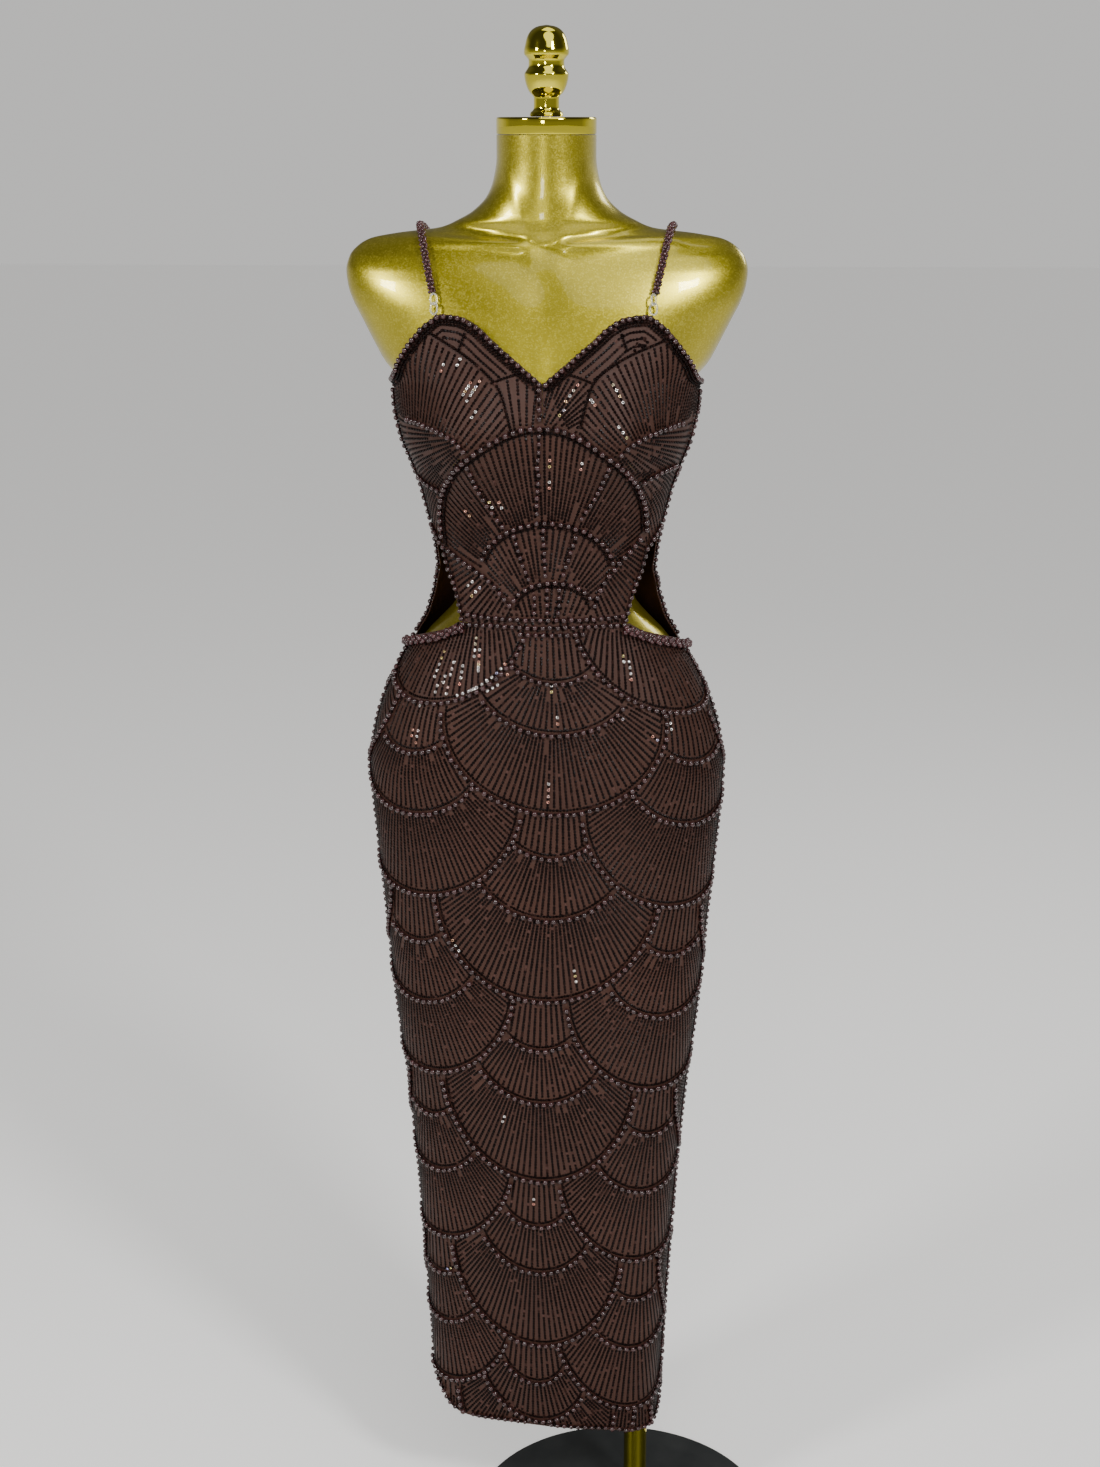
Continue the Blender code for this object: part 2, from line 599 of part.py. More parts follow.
def build_cloth(mesh_cloth):
    side = SIDE_U * PATTERN_PITCH
    back = BACK_U * PATTERN_PITCH

    fan = []
    for index in range(FAN_STEPS + 1):
        angle = math.pi * index / FAN_STEPS
        fan.append((FAN_HALF_WIDTH * math.cos(angle), FAN_Z + FAN_HEIGHT * math.sin(angle)))
    fan_right = to_plane(fan[: FAN_STEPS // 2 + 1])
    fan_line = fan_right + mirrored(fan_right)[1:]
    cut_right = to_plane(CUTOUT_FRONT)
    waist_right = sewn_line(WAIST_SEAM)

    # Midriff, anticlockwise from the foot of the left cut-out.
    waist_end = (WAIST_SEAM[1][0] * PATTERN_PITCH, WAIST_SEAM[1][1])
    midriff = [mirrored([waist_end])[0], waist_end] + list(reversed(cut_right)) + fan_line
    midriff += [(-point[0], point[1]) for point in cut_right]
    arch = resample(shifted(fan_line, EDGE_ROW_INSET)[1:-1], FAN_ROW_STEP)
    edge_line = list(reversed(cut_right)) + [fan_right[0]]
    edge = resample(shifted(edge_line, EDGE_ROW_INSET)[:-1], FAN_ROW_STEP)
    rows = [arch, edge, mirrored(edge)]
    rows += [resample(to_plane(line), FAN_ROW_STEP) for line in FAN_ROWS]
    waist_row = to_plane(((-WAIST_ROW_HALF_WIDTH, WAIST_ROW_Z), (WAIST_ROW_HALF_WIDTH, WAIST_ROW_Z)))
    rows.append(resample(waist_row, FAN_ROW_STEP))
    cloth_panel("midriff_front", midriff, rows, mesh_cloth)

    # Cups, each from the centre line to the side seam.
    neck = to_plane(NECKLINE)
    cup = [(0.0, FAN_Z + FAN_HEIGHT)] + list(reversed(fan_right))[1:] + [cut_right[0]]
    cup += to_plane([CUTOUT_OVER]) + [(side, CUTOUT_SIDE_Z), (side, ARMPIT_Z)] + list(reversed(neck))
    neck_line = [(side, ARMPIT_Z)] + list(reversed(neck))
    neck_row = resample(shifted(neck_line, EDGE_ROW_INSET)[1:-1], FAN_ROW_STEP)
    side_foot = (side - EDGE_ROW_INSET, CUTOUT_SIDE_Z + CUP_SIDE_ROW_END)
    side_top = (side - EDGE_ROW_INSET, ARMPIT_Z - CUP_SIDE_ROW_END)
    side_row = resample([side_foot, side_top], FAN_ROW_STEP)
    cup_rows = [neck_row, side_row] + [resample(to_plane(line), FAN_ROW_STEP) for line in CUP_ROWS]
    cloth_panel("cup_right", cup, cup_rows, mesh_cloth)
    cloth_panel("cup_left", mirrored(cup), [mirrored(row) for row in cup_rows], mesh_cloth)

    # Back bodice, from the right side seam round to the left one.
    back_seam = sewn_line(BACK_WAIST_SEAM)
    far_seam = [(2.0 * back - point[0], point[1]) for point in reversed(back_seam)]
    bodice = back_seam + far_seam[1:] + [(3.0 * side, CUTOUT_SIDE_Z), (3.0 * side, ARMPIT_Z)]
    bodice += [(back, BACK_NECK_Z), (side, ARMPIT_Z), (side, CUTOUT_SIDE_Z)]
    edge_foot = (side + EDGE_ROW_INSET, BACK_SIDE_ROW_FOOT)
    edge_top = (side + EDGE_ROW_INSET, CUTOUT_SIDE_Z - BACK_SIDE_ROW_END)
    edge_row = resample([edge_foot, edge_top], FAN_ROW_STEP)
    far_row = [(2.0 * back - point[0], point[1]) for point in reversed(edge_row)]
    cloth_panel("bodice_back", bodice, [edge_row, far_row], mesh_cloth)

    # Skirt, front and back, from the waist seam to the hem.
    front_hem = sewn_line([point for point in HEM_LINE if point[0] <= SIDE_U])
    front = front_hem + list(reversed(waist_right)) + [(-x, z) for x, z in waist_right[1:]]
    cloth_panel("skirt_front", front, scale_rows(front), mesh_cloth)
    back_hem = sewn_line([point for point in HEM_LINE if point[0] >= SIDE_U])
    rear = back_hem + list(reversed(far_seam)) + list(reversed(back_seam))[1:]
    cloth_panel("skirt_back", rear, scale_rows(rear), mesh_cloth)


def tube(name, centres, normals, radius, sides, closed, surface_material):
    """A round tube along centres; normals give a direction across it at each one."""
    vertices = []
    faces = []
    count = len(centres)
    for index, centre in enumerate(centres):
        before = centres[index - 1] if closed or index else centres[0]
        after = centres[(index + 1) % count] if closed or index < count - 1 else centres[-1]
        run = (after - before).normalized()
        across = (normals[index] - normals[index].dot(run) * run).normalized()
        other = run.cross(across)
        for step in range(sides):
            angle = 2.0 * math.pi * step / sides
            vertices.append(centre + radius * (math.cos(angle) * across + math.sin(angle) * other))
    spans = count if closed else count - 1
    for index in range(spans):
        near = index * sides
        far = ((index + 1) % count) * sides
        for step in range(sides):
            after = (step + 1) % sides
            faces.append((near + step, near + after, far + after, far + step))
    if not closed:
        faces.append(tuple(reversed(range(sides))))
        faces.append(tuple(range((count - 1) * sides, count * sides)))
    return add_object(name, vertices, faces, surface_material)


def build_bands(beads):
    path = resample(sewn_line(BAND_PATH), BAND_STEP)
    for name, side in (("band_right", 1.0), ("band_left", -1.0)):
        centres = []
        normals = []
        for across, z in path:
            u = side * across / PATTERN_PITCH
            centres.append(cloth_point(u, z, CLOTH_WALL + BAND_GAP + BAND_RADIUS))
            normals.append(outward(u, z, 1.0))
        tube(name, centres, normals, BAND_RADIUS, STRAP_SIDES, False, beads)


def on_body(x, bearing):
    """Where a ray across the shoulder leaves the body, at this x and this bearing from the front."""
    angle = math.radians(bearing)
    near, far = STRAP_SEARCH
    for unused in range(STRAP_SEARCH_STEPS):
        middle = 0.5 * (near + far)
        y = STRAP_PIVOT[0] - middle * math.cos(angle)
        z = STRAP_PIVOT[1] + middle * math.sin(angle)
        ring_x, ring_y, unused_length = section(z, 0.0)
        bearing = math.atan2(x, -y)
        bearings = np.linspace(-math.pi, math.pi, SECTION_SAMPLES)
        reach = np.interp(bearing, bearings, np.hypot(ring_x, ring_y))
        if math.hypot(x, y) < reach and z < BODY["z"][-1]:
            near = middle
        else:
            far = middle
    return Vector((x, STRAP_PIVOT[0] - near * math.cos(angle), STRAP_PIVOT[1] + near * math.sin(angle)))


def strap_path(side):
    """Centre line of a strap, from above its loop over the shoulder to the back neckline."""
    turns = (STRAP_BEARINGS[0], STRAP_TOP_BEARING, STRAP_BEARINGS[-1])
    centres = []
    normals = []
    for bearing in STRAP_BEARINGS:
        x = float(np.interp(bearing, turns, (STRAP_FRONT_X, STRAP_TOP_X, STRAP_BACK_X)))
        along = on_body(x, bearing + STRAP_SLOPE_BEARING) - on_body(x, bearing - STRAP_SLOPE_BEARING)
        across = on_body(x + STRAP_SLOPE_X, bearing) - on_body(x - STRAP_SLOPE_X, bearing)
        normal = across.cross(along).normalized()
        centre = on_body(x, bearing) + (STRAP_RADIUS + STRAP_GAP) * normal
        centres.append(Vector((side * centre.x, centre.y, centre.z)))
        normals.append(Vector((side * normal.x, normal.y, normal.z)))
    return centres, normals


def build_straps(beads, clear_plastic):
    for name, side in (("right", 1.0), ("left", -1.0)):
        centres, normals = strap_path(side)
        tube("strap_" + name, centres, normals, STRAP_RADIUS, STRAP_SIDES, False, beads)
        loop = []
        loop_normals = []
        middle = 0.5 * (LOOP_FOOT_Z + LOOP_TOP_Z)
        straight = 0.5 * (LOOP_TOP_Z - LOOP_FOOT_Z) - LOOP_HALF_WIDTH
        for index in range(LOOP_STEPS):
            angle = 2.0 * math.pi * (index + 0.5) / LOOP_STEPS
            rise = straight if math.sin(angle) > 0.0 else -straight
            across = side * LOOP_X + LOOP_HALF_WIDTH * math.cos(angle)
            z = middle + rise + LOOP_HALF_WIDTH * math.sin(angle)
            u = u_at(across, z)
            loop.append(cloth_point(u, z, LOOP_STAND_OFF))
            loop_normals.append(outward(u, z, 1.0))
        tube("loop_" + name, loop, loop_normals, LOOP_WIRE, LOOP_SIDES, True, clear_plastic)


def lathe(name, profile, centre, sides, surface_material):
    """A turned solid from radius and height pairs, bottom to top, both ends on the axis."""
    vertices = []
    rings = []
    for radius, z in profile:
        if radius == 0.0:
            rings.append([len(vertices)])
            vertices.append((centre[0], centre[1], z))
            continue
        rings.append(list(range(len(vertices), len(vertices) + sides)))
        for step in range(sides):
            angle = 2.0 * math.pi * step / sides
            vertices.append((centre[0] + radius * math.cos(angle), centre[1] + radius * math.sin(angle), z))
    faces = []
    for lower, upper in zip(rings[:-1], rings[1:]):
        for step in range(sides):
            after = (step + 1) % sides
            if len(lower) == 1:
                faces.append((lower[0], upper[after], upper[step]))
            elif len(upper) == 1:
                faces.append((lower[step], lower[after], upper[0]))
            else:
                faces.append((lower[step], lower[after], upper[after], upper[step]))
    return add_object(name, vertices, faces, surface_material)


def build_form(paint):
    levels = [FORM_FOOT_Z] + [float(z) for z in BODY["z"] if z > FORM_FOOT_Z + FORM_FIRST_STEP]
    vertices = []
    for z in levels:
        for step in range(FORM_RING):
            vertices.append(ring_point(SIXTHS * step / FORM_RING, z, 0.0))
    faces = [tuple(reversed(range(FORM_RING)))]
    for level in range(len(levels) - 1):
        for step in range(FORM_RING):
            after = (step + 1) % FORM_RING
            low = level * FORM_RING
            high = low + FORM_RING
            faces.append((low + step, low + after, high + after, high + step))
    top = (len(levels) - 1) * FORM_RING
    faces.append(tuple(range(top, top + FORM_RING)))
    add_object("dress_form", vertices, faces, paint)


def build_stand(gold, black):
    cap = (
        (0.0, CAP_FOOT_Z),
        (CAP_RADIUS - CAP_BEVEL, CAP_FOOT_Z),
        (CAP_RADIUS, CAP_FOOT_Z + CAP_BEVEL),
        (CAP_RADIUS, CAP_TOP_Z - CAP_BEVEL),
        (CAP_RADIUS - CAP_BEVEL, CAP_TOP_Z),
        (0.0, CAP_TOP_Z),
    )
    lathe("neck_cap", cap, (0.0, 0.0), CAP_SIDES, gold)
    lathe("finial", FINIAL_PROFILE, (0.0, 0.0), FINIAL_SIDES, gold)
    pole_foot = BASE_HEIGHT + REST_GAP
    pole_top = FORM_FOOT_Z - REST_GAP
    pole = ((0.0, pole_foot), (POLE_RADIUS, pole_foot), (POLE_RADIUS, pole_top), (0.0, pole_top))
    lathe("pole", pole, (POLE_X, 0.0), POLE_SIDES, gold)
    base = (
        (0.0, 0.0),
        (BASE_RADIUS - BASE_BEVEL, 0.0),
        (BASE_RADIUS, BASE_BEVEL),
        (BASE_RADIUS, BASE_HEIGHT - BASE_BEVEL),
        (BASE_RADIUS - BASE_BEVEL, BASE_HEIGHT),
        (0.0, BASE_HEIGHT),
    )
    lathe("base", base, BASE_CENTRE, BASE_SIDES, black)


clear_scene()
mesh_cloth = material("beaded_mesh", (0.090, 0.045, 0.034), 0.55, 0.0)
bead_pearl = material("bead_pearl", (0.075, 0.035, 0.035), 0.25, 0.3)
clear_plastic = material("clear_plastic", (0.80, 0.80, 0.78), 0.15, 0.0)
gold_paint = material("gold_paint", (0.36, 0.31, 0.08), 0.30, 0.8)
polished_gold = material("polished_gold", (0.72, 0.55, 0.20), 0.18, 1.0)
black_base = material("black_base", (0.015, 0.017, 0.017), 0.50, 0.2)

build_form(gold_paint)
build_stand(polished_gold, black_base)
build_cloth(mesh_cloth)
build_bands(bead_pearl)
build_straps(bead_pearl, clear_plastic)
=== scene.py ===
import math

import bpy
import numpy as np
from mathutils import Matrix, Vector
from mathutils.kdtree import KDTree


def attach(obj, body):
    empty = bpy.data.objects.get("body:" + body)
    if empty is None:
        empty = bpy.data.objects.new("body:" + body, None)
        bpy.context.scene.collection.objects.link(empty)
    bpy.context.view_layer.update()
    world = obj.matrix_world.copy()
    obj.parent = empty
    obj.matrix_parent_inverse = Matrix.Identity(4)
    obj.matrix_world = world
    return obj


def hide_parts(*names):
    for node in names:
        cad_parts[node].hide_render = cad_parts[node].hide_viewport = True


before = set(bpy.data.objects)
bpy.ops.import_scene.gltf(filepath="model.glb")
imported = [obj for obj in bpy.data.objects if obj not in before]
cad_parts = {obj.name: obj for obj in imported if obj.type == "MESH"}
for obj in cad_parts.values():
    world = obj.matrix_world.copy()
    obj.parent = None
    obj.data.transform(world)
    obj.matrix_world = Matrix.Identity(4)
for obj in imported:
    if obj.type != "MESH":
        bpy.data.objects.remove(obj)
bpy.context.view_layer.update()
bpy.ops.object.select_all(action="DESELECT")
mm = 0.001
rng = np.random.default_rng(11)

# The body under the dress, as in the part: height, half-width, depth to the front and to the back, roundness
bodyShape = (
    (90, 116.5, 55.5, 67.5, 2.90),
    (130, 117.5, 56.5, 67.5, 2.90),
    (200, 119.5, 58.5, 68.5, 2.80),
    (300, 124.5, 61.5, 70.5, 2.70),
    (400, 130.5, 66.5, 73.5, 2.55),
    (500, 138.5, 72.5, 79.5, 2.40),
    (600, 150, 78.5, 87, 2.30),
    (690, 157.5, 84, 95, 2.20),
    (760, 164, 87, 104, 2.15),
    (820, 169.5, 88.5, 113, 2.15),
    (852, 171, 89.5, 115.5, 2.15),
    (885, 166.5, 88.5, 112.5, 2.15),
    (915, 158.5, 86.5, 104.5, 2.15),
    (943, 146.5, 83, 93, 2.15),
    (960, 137.5, 80.5, 85.5, 2.15),
    (975, 127.5, 78, 78.5, 2.15),
    (990, 116, 74.5, 70.5, 2.15),
    (1004, 102, 71, 64.5, 2.15),
    (1019, 89, 67.5, 60, 2.15),
    (1034, 82.5, 65.5, 57, 2.15),
    (1050, 82, 65, 56, 2.15),
    (1065, 87, 65.5, 56, 2.15),
    (1080, 95, 67, 57.5, 2.15),
    (1109, 107.5, 69, 62, 2.15),
    (1138, 116.5, 70.5, 67.5, 2.15),
    (1160, 124.5, 71.5, 72, 2.15),
    (1182, 133.5, 72.5, 75, 2.15),
    (1210, 139.5, 74.5, 78.5, 2.15),
    (1239, 142, 75.5, 80, 2.15),
    (1246, 148.5, 75.5, 80, 2.15),
    (1254, 155, 75, 80, 2.15),
    (1268, 162.5, 73.5, 80, 2.20),
    (1296, 176.5, 68.5, 78, 2.30),
    (1310, 183.5, 65, 75.5, 2.35),
    (1324, 188, 60.5, 72, 2.35),
    (1338, 189.5, 55.5, 67, 2.25),
    (1351, 186, 51, 61, 2.00),
    (1361, 177, 48.5, 57, 1.65),
    (1367, 166, 48, 54.5, 1.38),
    (1372, 140, 48.5, 53.5, 1.30),
    (1377, 100, 49, 52.5, 1.45),
    (1384, 83, 49, 51.5, 1.75),
    (1392, 69, 48.5, 50, 1.90),
    (1406, 55.5, 48, 49, 2.0),
    (1421, 49.5, 47, 47.5, 2.0),
    (1441, 46.5, 46.5, 46.5, 2.0),
    (1460.7, 46.5, 46.5, 46.5, 2.0),
)
# how far the cloth stands off at the side, the front and the back, where it isn't the usual distance
usualEase = (2.5, 2.5, 2.5)
waistEase = {
    960: (3, 2.5, 2.5),
    975: (4.5, 3, 3),
    990: (7.5, 4, 3.5),
    1004: (13, 6, 4.5),
    1019: (21, 8, 5),
    1034: (23.5, 9, 5.5),
    1050: (20.5, 8.5, 5.5),
    1065: (16.5, 7.5, 5),
    1080: (10.5, 5, 4),
    1109: (4, 3, 3),
}
bodyRows = np.array([(*row, *waistEase.get(row[0], usualEase)) for row in bodyShape])
bust = {"x": 70.0, "z": 1186.0, "swell": 36.0, "spread": 52.0, "above": 58.0, "below": 46.0, "fade": 30.0}
skirtTurn = {"degrees": 10.0, "top": 800.0, "bottom": 130.0}
clothWall = 2.4
outlineSteps = 720


def through(knots, values, places):
    # a smooth line through the rows of a table, which doesn't overshoot them
    run = np.diff(knots)
    slope = np.diff(values, axis=0) / run[:, None]
    before, after = slope[:-1], slope[1:]
    same = before * after > 0
    near = (2 * run[1:] + run[:-1])[:, None]
    far = (run[1:] + 2 * run[:-1])[:, None]
    mean = (near + far) / (near / np.where(same, before, 1.0) + far / np.where(same, after, 1.0))
    tangent = np.zeros_like(values)
    tangent[1:-1] = np.where(same, mean, 0.0)
    tangent[0], tangent[-1] = slope[0], slope[-1]
    spot = np.clip(np.searchsorted(knots, places) - 1, 0, len(knots) - 2)
    h = run[spot][:, None]
    t = (places[:, None] - knots[spot][:, None]) / h
    start = values[spot] * (1 + 2 * t) * (1 - t) ** 2 + h * tangent[spot] * t * (1 - t) ** 2
    return start + values[spot + 1] * t * t * (3 - 2 * t) + h * tangent[spot + 1] * t * t * (t - 1)


def smooth(value):
    value = np.clip(value, 0.0, 1.0)
    return value * value * (3 - 2 * value)


def outline(levels, ease):
    # points round the body at each height, from the centre back round by the left
    table = through(bodyRows[:, 0], bodyRows[:, 1:], levels)
    half, front, back, roundness, sideEase, frontEase, backEase = table.T
    angle = np.linspace(-math.pi, math.pi, outlineSteps + 1)
    turn = math.radians(skirtTurn["degrees"]) * smooth(
        (skirtTurn["top"] - levels) / (skirtTurn["top"] - skirtTurn["bottom"])
    )
    facing = np.cos(angle + turn[:, None])
    across = np.abs(np.sin(angle + turn[:, None])) / (half + ease * sideEase)[:, None]
    depth = np.where(facing > 0, (front + ease * frontEase)[:, None], (back + ease * backEase)[:, None])
    power = roundness[:, None]
    radius = (across**power + (np.abs(facing) / depth) ** power) ** (-1 / power)
    x = radius * np.sin(angle)
    y = -radius * np.cos(angle)
    spread = np.where(levels > bust["z"], bust["above"], bust["below"])[:, None]
    fade = np.clip(-y / bust["fade"], 0, 1)
    rise = ((levels[:, None] - bust["z"]) / spread) ** 2
    for sign in (-1, 1):
        y = y - bust["swell"] * np.exp(-(((x - sign * bust["x"]) / bust["spread"]) ** 2) - rise) * fade
    return x, y


def unit(vectors):
    return vectors / np.linalg.norm(vectors, axis=-1, keepdims=True)


def runAlong(points):
    # how far along a line each of its points lies
    return np.concatenate([[0], np.cumsum(np.linalg.norm(np.diff(points, axis=0), axis=1))])


class Surface:
    # the body at a given ease; u counts sixths of the girth from the centre front, z is in mm
    def __init__(self, levels, ease, columns):
        self.levels = levels
        self.columns = columns
        x, y = outline(levels, ease)
        length = np.concatenate(
            [np.zeros((len(levels), 1)), np.cumsum(np.hypot(np.diff(x), np.diff(y)), axis=1)], axis=1
        )
        self.girth = length[:, -1]
        share = (np.arange(columns + 1) / columns) - 0.5
        points = np.empty((len(levels), columns + 1, 3))
        for row in range(len(levels)):
            place = (length[row, outlineSteps // 2] + share * self.girth[row]) % self.girth[row]
            points[row, :, 0] = np.interp(place, length[row], x[row])
            points[row, :, 1] = np.interp(place, length[row], y[row])
            points[row, :, 2] = levels[row]
        points[:, -1] = points[:, 0]
        wide = np.concatenate([points[:, -2:-1], points, points[:, 1:2]], axis=1)
        across = wide[:, 2:] - wide[:, :-2]
        upward = np.gradient(points, levels, axis=0)
        self.points = points
        self.normals = unit(np.cross(across, upward))

    def mix(self, table, u, z):
        column = ((np.asarray(u, float) + 3) % 6) / 6 * self.columns
        row = np.interp(z, self.levels, np.arange(len(self.levels)))
        c = np.minimum(column.astype(int), self.columns - 1)
        r = np.minimum(row.astype(int), len(self.levels) - 2)
        fc, fr = (column - c)[..., None], (row - r)[..., None]
        low = table[r, c] * (1 - fc) + table[r, c + 1] * fc
        high = table[r + 1, c] * (1 - fc) + table[r + 1, c + 1] * fc
        return low * (1 - fr) + high * fr

    def out(self, u, z):
        return unit(self.mix(self.normals, u, z))

    def at(self, u, z, lift=0.0):
        return self.mix(self.points, u, z) + np.asarray(lift)[..., None] * self.out(u, z)

    def uAt(self, distance, z):
        return 6 * np.asarray(distance) / np.interp(z, self.levels, self.girth)


print("body tables")
dress = Surface(np.arange(92.0, 1342.0, 4.0), 1.0, outlineSteps)


# Meshes: a primitive takes its shape in code and comes back as one active object.
def setPoints(piece, points):
    piece.data.vertices.foreach_set("co", (np.asarray(points) * mm).ravel())
    piece.data.update()


def getPoints(piece):
    points = np.empty(len(piece.data.vertices) * 3)
    piece.data.vertices.foreach_get("co", points)
    return points.reshape(-1, 3)


def named(name):
    piece = bpy.context.object
    piece.name = name
    return piece


def selectOnly(piece):
    bpy.ops.object.select_all(action="DESELECT")
    piece.select_set(True)
    bpy.context.view_layer.objects.active = piece


def turnOutward():
    # the normals of the active piece, and back to object mode
    bpy.ops.object.mode_set(mode="EDIT")
    bpy.ops.mesh.select_all(action="SELECT")
    bpy.ops.mesh.normals_make_consistent(inside=False)
    bpy.ops.object.mode_set(mode="OBJECT")


def finishPiece(piece, material, nodes=()):
    piece.data.materials.clear()
    piece.data.materials.append(material)
    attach(piece, "root")
    if nodes:
        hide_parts(*nodes)
    bpy.ops.object.select_all(action="DESELECT")
    return piece


def addModifier(piece, kind, **settings):
    selectOnly(piece)
    modifier = piece.modifiers.new(kind.lower(), kind)
    for name, value in settings.items():
        setattr(modifier, name, value)
    bpy.ops.object.modifier_apply(modifier=modifier.name)


def shadeSmooth(piece, degrees=None):
    selectOnly(piece)
    if degrees is None:
        bpy.ops.object.shade_smooth()
    else:
        bpy.ops.object.shade_smooth_by_angle(angle=math.radians(degrees))


# Shader graphs: a wire is a socket that takes arithmetic.
class Wire:
    def __init__(self, nodes, socket):
        self.nodes = nodes
        self.socket = socket

    def maths(self, operation, *values):
        return self.nodes.add("ShaderNodeMath", {"operation": operation}, dict(enumerate(values)))

    def sine(self):
        return self.maths("SINE", self)

    def __add__(self, other):
        return self.maths("ADD", self, other)

    def __radd__(self, other):
        return self.maths("ADD", other, self)

    def __mul__(self, other):
        return self.maths("MULTIPLY", self, other)

    def __rmul__(self, other):
        return self.maths("MULTIPLY", other, self)

    def __pow__(self, other):
        return self.maths("POWER", self, other)

    def __rpow__(self, other):
        return self.maths("POWER", other, self)


class Nodes:
    def __init__(self, tree):
        self.tree = tree

    def feed(self, socket, value):
        if isinstance(value, Wire):
            self.tree.links.new(value.socket, socket)
        elif hasattr(value, "__len__") and len(value) == 3 and len(socket.default_value) == 4:
            socket.default_value = (*value, 1.0)
        else:
            socket.default_value = value

    def add(self, kind, settings=None, sockets=None, out=0):
        # settings go in first; "stops" are a ramp's places and colours
        node = self.tree.nodes.new(kind)
        for name, value in (settings or {}).items():
            if name == "stops":
                ramp = node.color_ramp.elements
                ramp[0].position, ramp[0].color = value[0][0], (*value[0][1], 1.0)
                ramp[1].position, ramp[1].color = value[-1][0], (*value[-1][1], 1.0)
                for place, colour in value[1:-1]:
                    ramp.new(place).color = (*colour, 1.0)
            else:
                setattr(node, name, value)
        for name, value in (sockets or {}).items():
            self.feed(node.inputs[name], value)
        return Wire(self, node.outputs[out])

    def split(self, vector):
        first = self.add("ShaderNodeSeparateXYZ", {}, {0: vector})
        return [Wire(self, socket) for socket in first.socket.node.outputs]

    def objectPlace(self):
        return self.add("ShaderNodeTexCoord", out="Object")

    def attribute(self, name):
        return self.add("ShaderNodeAttribute", {"attribute_name": name}, {}, "Fac")

    def noise(self, place, scale, detail=3.0, roughness=0.55):
        sockets = {"Vector": place, "Scale": scale, "Detail": detail, "Roughness": roughness}
        return self.add("ShaderNodeTexNoise", {}, sockets, "Fac")

    def ramp(self, factor, *stops):
        return self.add("ShaderNodeValToRGB", {"stops": stops}, {"Fac": factor}, "Color")

    def mixColour(self, factor, first, second, blend="MIX"):
        settings = {"data_type": "RGBA", "blend_type": blend}
        return self.add("ShaderNodeMix", settings, {0: factor, 6: first, 7: second}, 2)


class Finish(Nodes):
    # a material, whose fixed values are named as the shader's sockets are
    def __init__(self, name, base, **fixed):
        self.material = bpy.data.materials.new(name)
        self.material.use_nodes = True
        super().__init__(self.material.node_tree)
        self.shader = self.tree.nodes["Principled BSDF"]
        self.drive("Base Color", base)
        for word, value in fixed.items():
            spaced = "".join(" " + letter if letter.isupper() else letter for letter in word).title()
            self.drive(spaced.replace("Ior", "IOR"), value)

    def drive(self, socket, value):
        self.feed(self.shader.inputs[socket], value)

    def bump(self, height, strength, distance):
        sockets = {"Height": height, "Strength": strength, "Distance": distance}
        self.drive("Normal", self.add("ShaderNodeBump", {}, sockets, "Normal"))


# The dress mesh: a diagonal net, worn in patches
meshLook = {"netPitch": 0.0013, "netTurn": 45, "wearScale": 9.0, "threadScale": 420.0, "bump": 0.35}


def makeMeshCloth():
    look = Finish(
        "sheerMeshCloth", (0.08, 0.04, 0.03), sheenWeight=0.012, sheenRoughness=0.5, specularIorLevel=0.16
    )
    look.drive("Sheen Tint", (0.62, 0.36, 0.28))
    place = look.add("ShaderNodeUVMap", {"uv_map": "cloth"})
    turn = (0, 0, math.radians(meshLook["netTurn"]))
    along, across = look.split(look.add("ShaderNodeMapping", {}, {"Vector": place, "Rotation": turn}))[:2]
    waves = 2 * math.pi / meshLook["netPitch"]
    net = ((along * waves).sine() * (across * waves).sine()) * 0.5 + 0.5
    worn = look.noise(look.objectPlace(), meshLook["wearScale"], 4.0)
    fine = look.noise(place, meshLook["threadScale"], 2.0)
    brown = look.ramp(
        worn, (0.3, (0.050, 0.023, 0.016)), (0.55, (0.070, 0.032, 0.022)), (0.75, (0.094, 0.039, 0.026))
    )
    look.drive("Base Color", look.mixColour(net * 0.35 + fine * 0.25, (0.040, 0.017, 0.012), brown))
    look.drive("Roughness", fine * 0.15 + 0.36)
    look.bump(net + fine * 0.6, meshLook["bump"], 0.0004)
    return look.material


def makePearl(name, dark, light, roughness):
    look = Finish(name, dark, coatWeight=0.55, coatRoughness=0.12, coatIor=1.5, specularIorLevel=0.35)
    milky = look.noise(look.objectPlace(), 500.0, 2.0)
    look.drive("Base Color", look.mixColour(look.attribute("shade") * 0.7 + milky * 0.3, dark, light))
    look.drive("Roughness", milky * 0.12 + roughness)
    return look.material


def makeSequin():
    look = Finish("sequinFacets", (0.02, 0.01, 0.008), specularIorLevel=0.07)
    shade = look.attribute("shade")
    stops = [(0.0, (0.0025, 0.0008, 0.0006)), (0.8, (0.006, 0.002, 0.0015)), (0.96, (0.020, 0.008, 0.006))]
    look.drive("Base Color", look.ramp(shade, *stops, (1.0, (0.070, 0.034, 0.028))))
    look.drive("Roughness", shade * 0.12 + 0.28)
    return look.material


# silver-white rings with a few pink, orange, gold and blue ones: painted glints and painted iridescent
# reflections on the sequins
def makeGlint():
    look = Finish("paintedGlintSequin", (0.9, 0.86, 0.84), metallic=0.9, roughness=0.22)
    stops = [(0.0, (0.95, 0.90, 0.86)), (0.55, (0.95, 0.90, 0.88)), (0.62, (0.85, 0.38, 0.30))]
    stops += [(0.78, (0.85, 0.45, 0.34)), (0.84, (0.75, 0.62, 0.25)), (1.0, (0.52, 0.50, 0.85))]
    look.drive("Base Color", look.ramp(look.attribute("shade"), *stops))
    return look.material


# The form's paint: flakes in a clouded olive gold
paintLook = {"flakeScale": 900.0, "flakeShine": 0.30, "cloudScale": 7.0, "grainScale": 700.0}


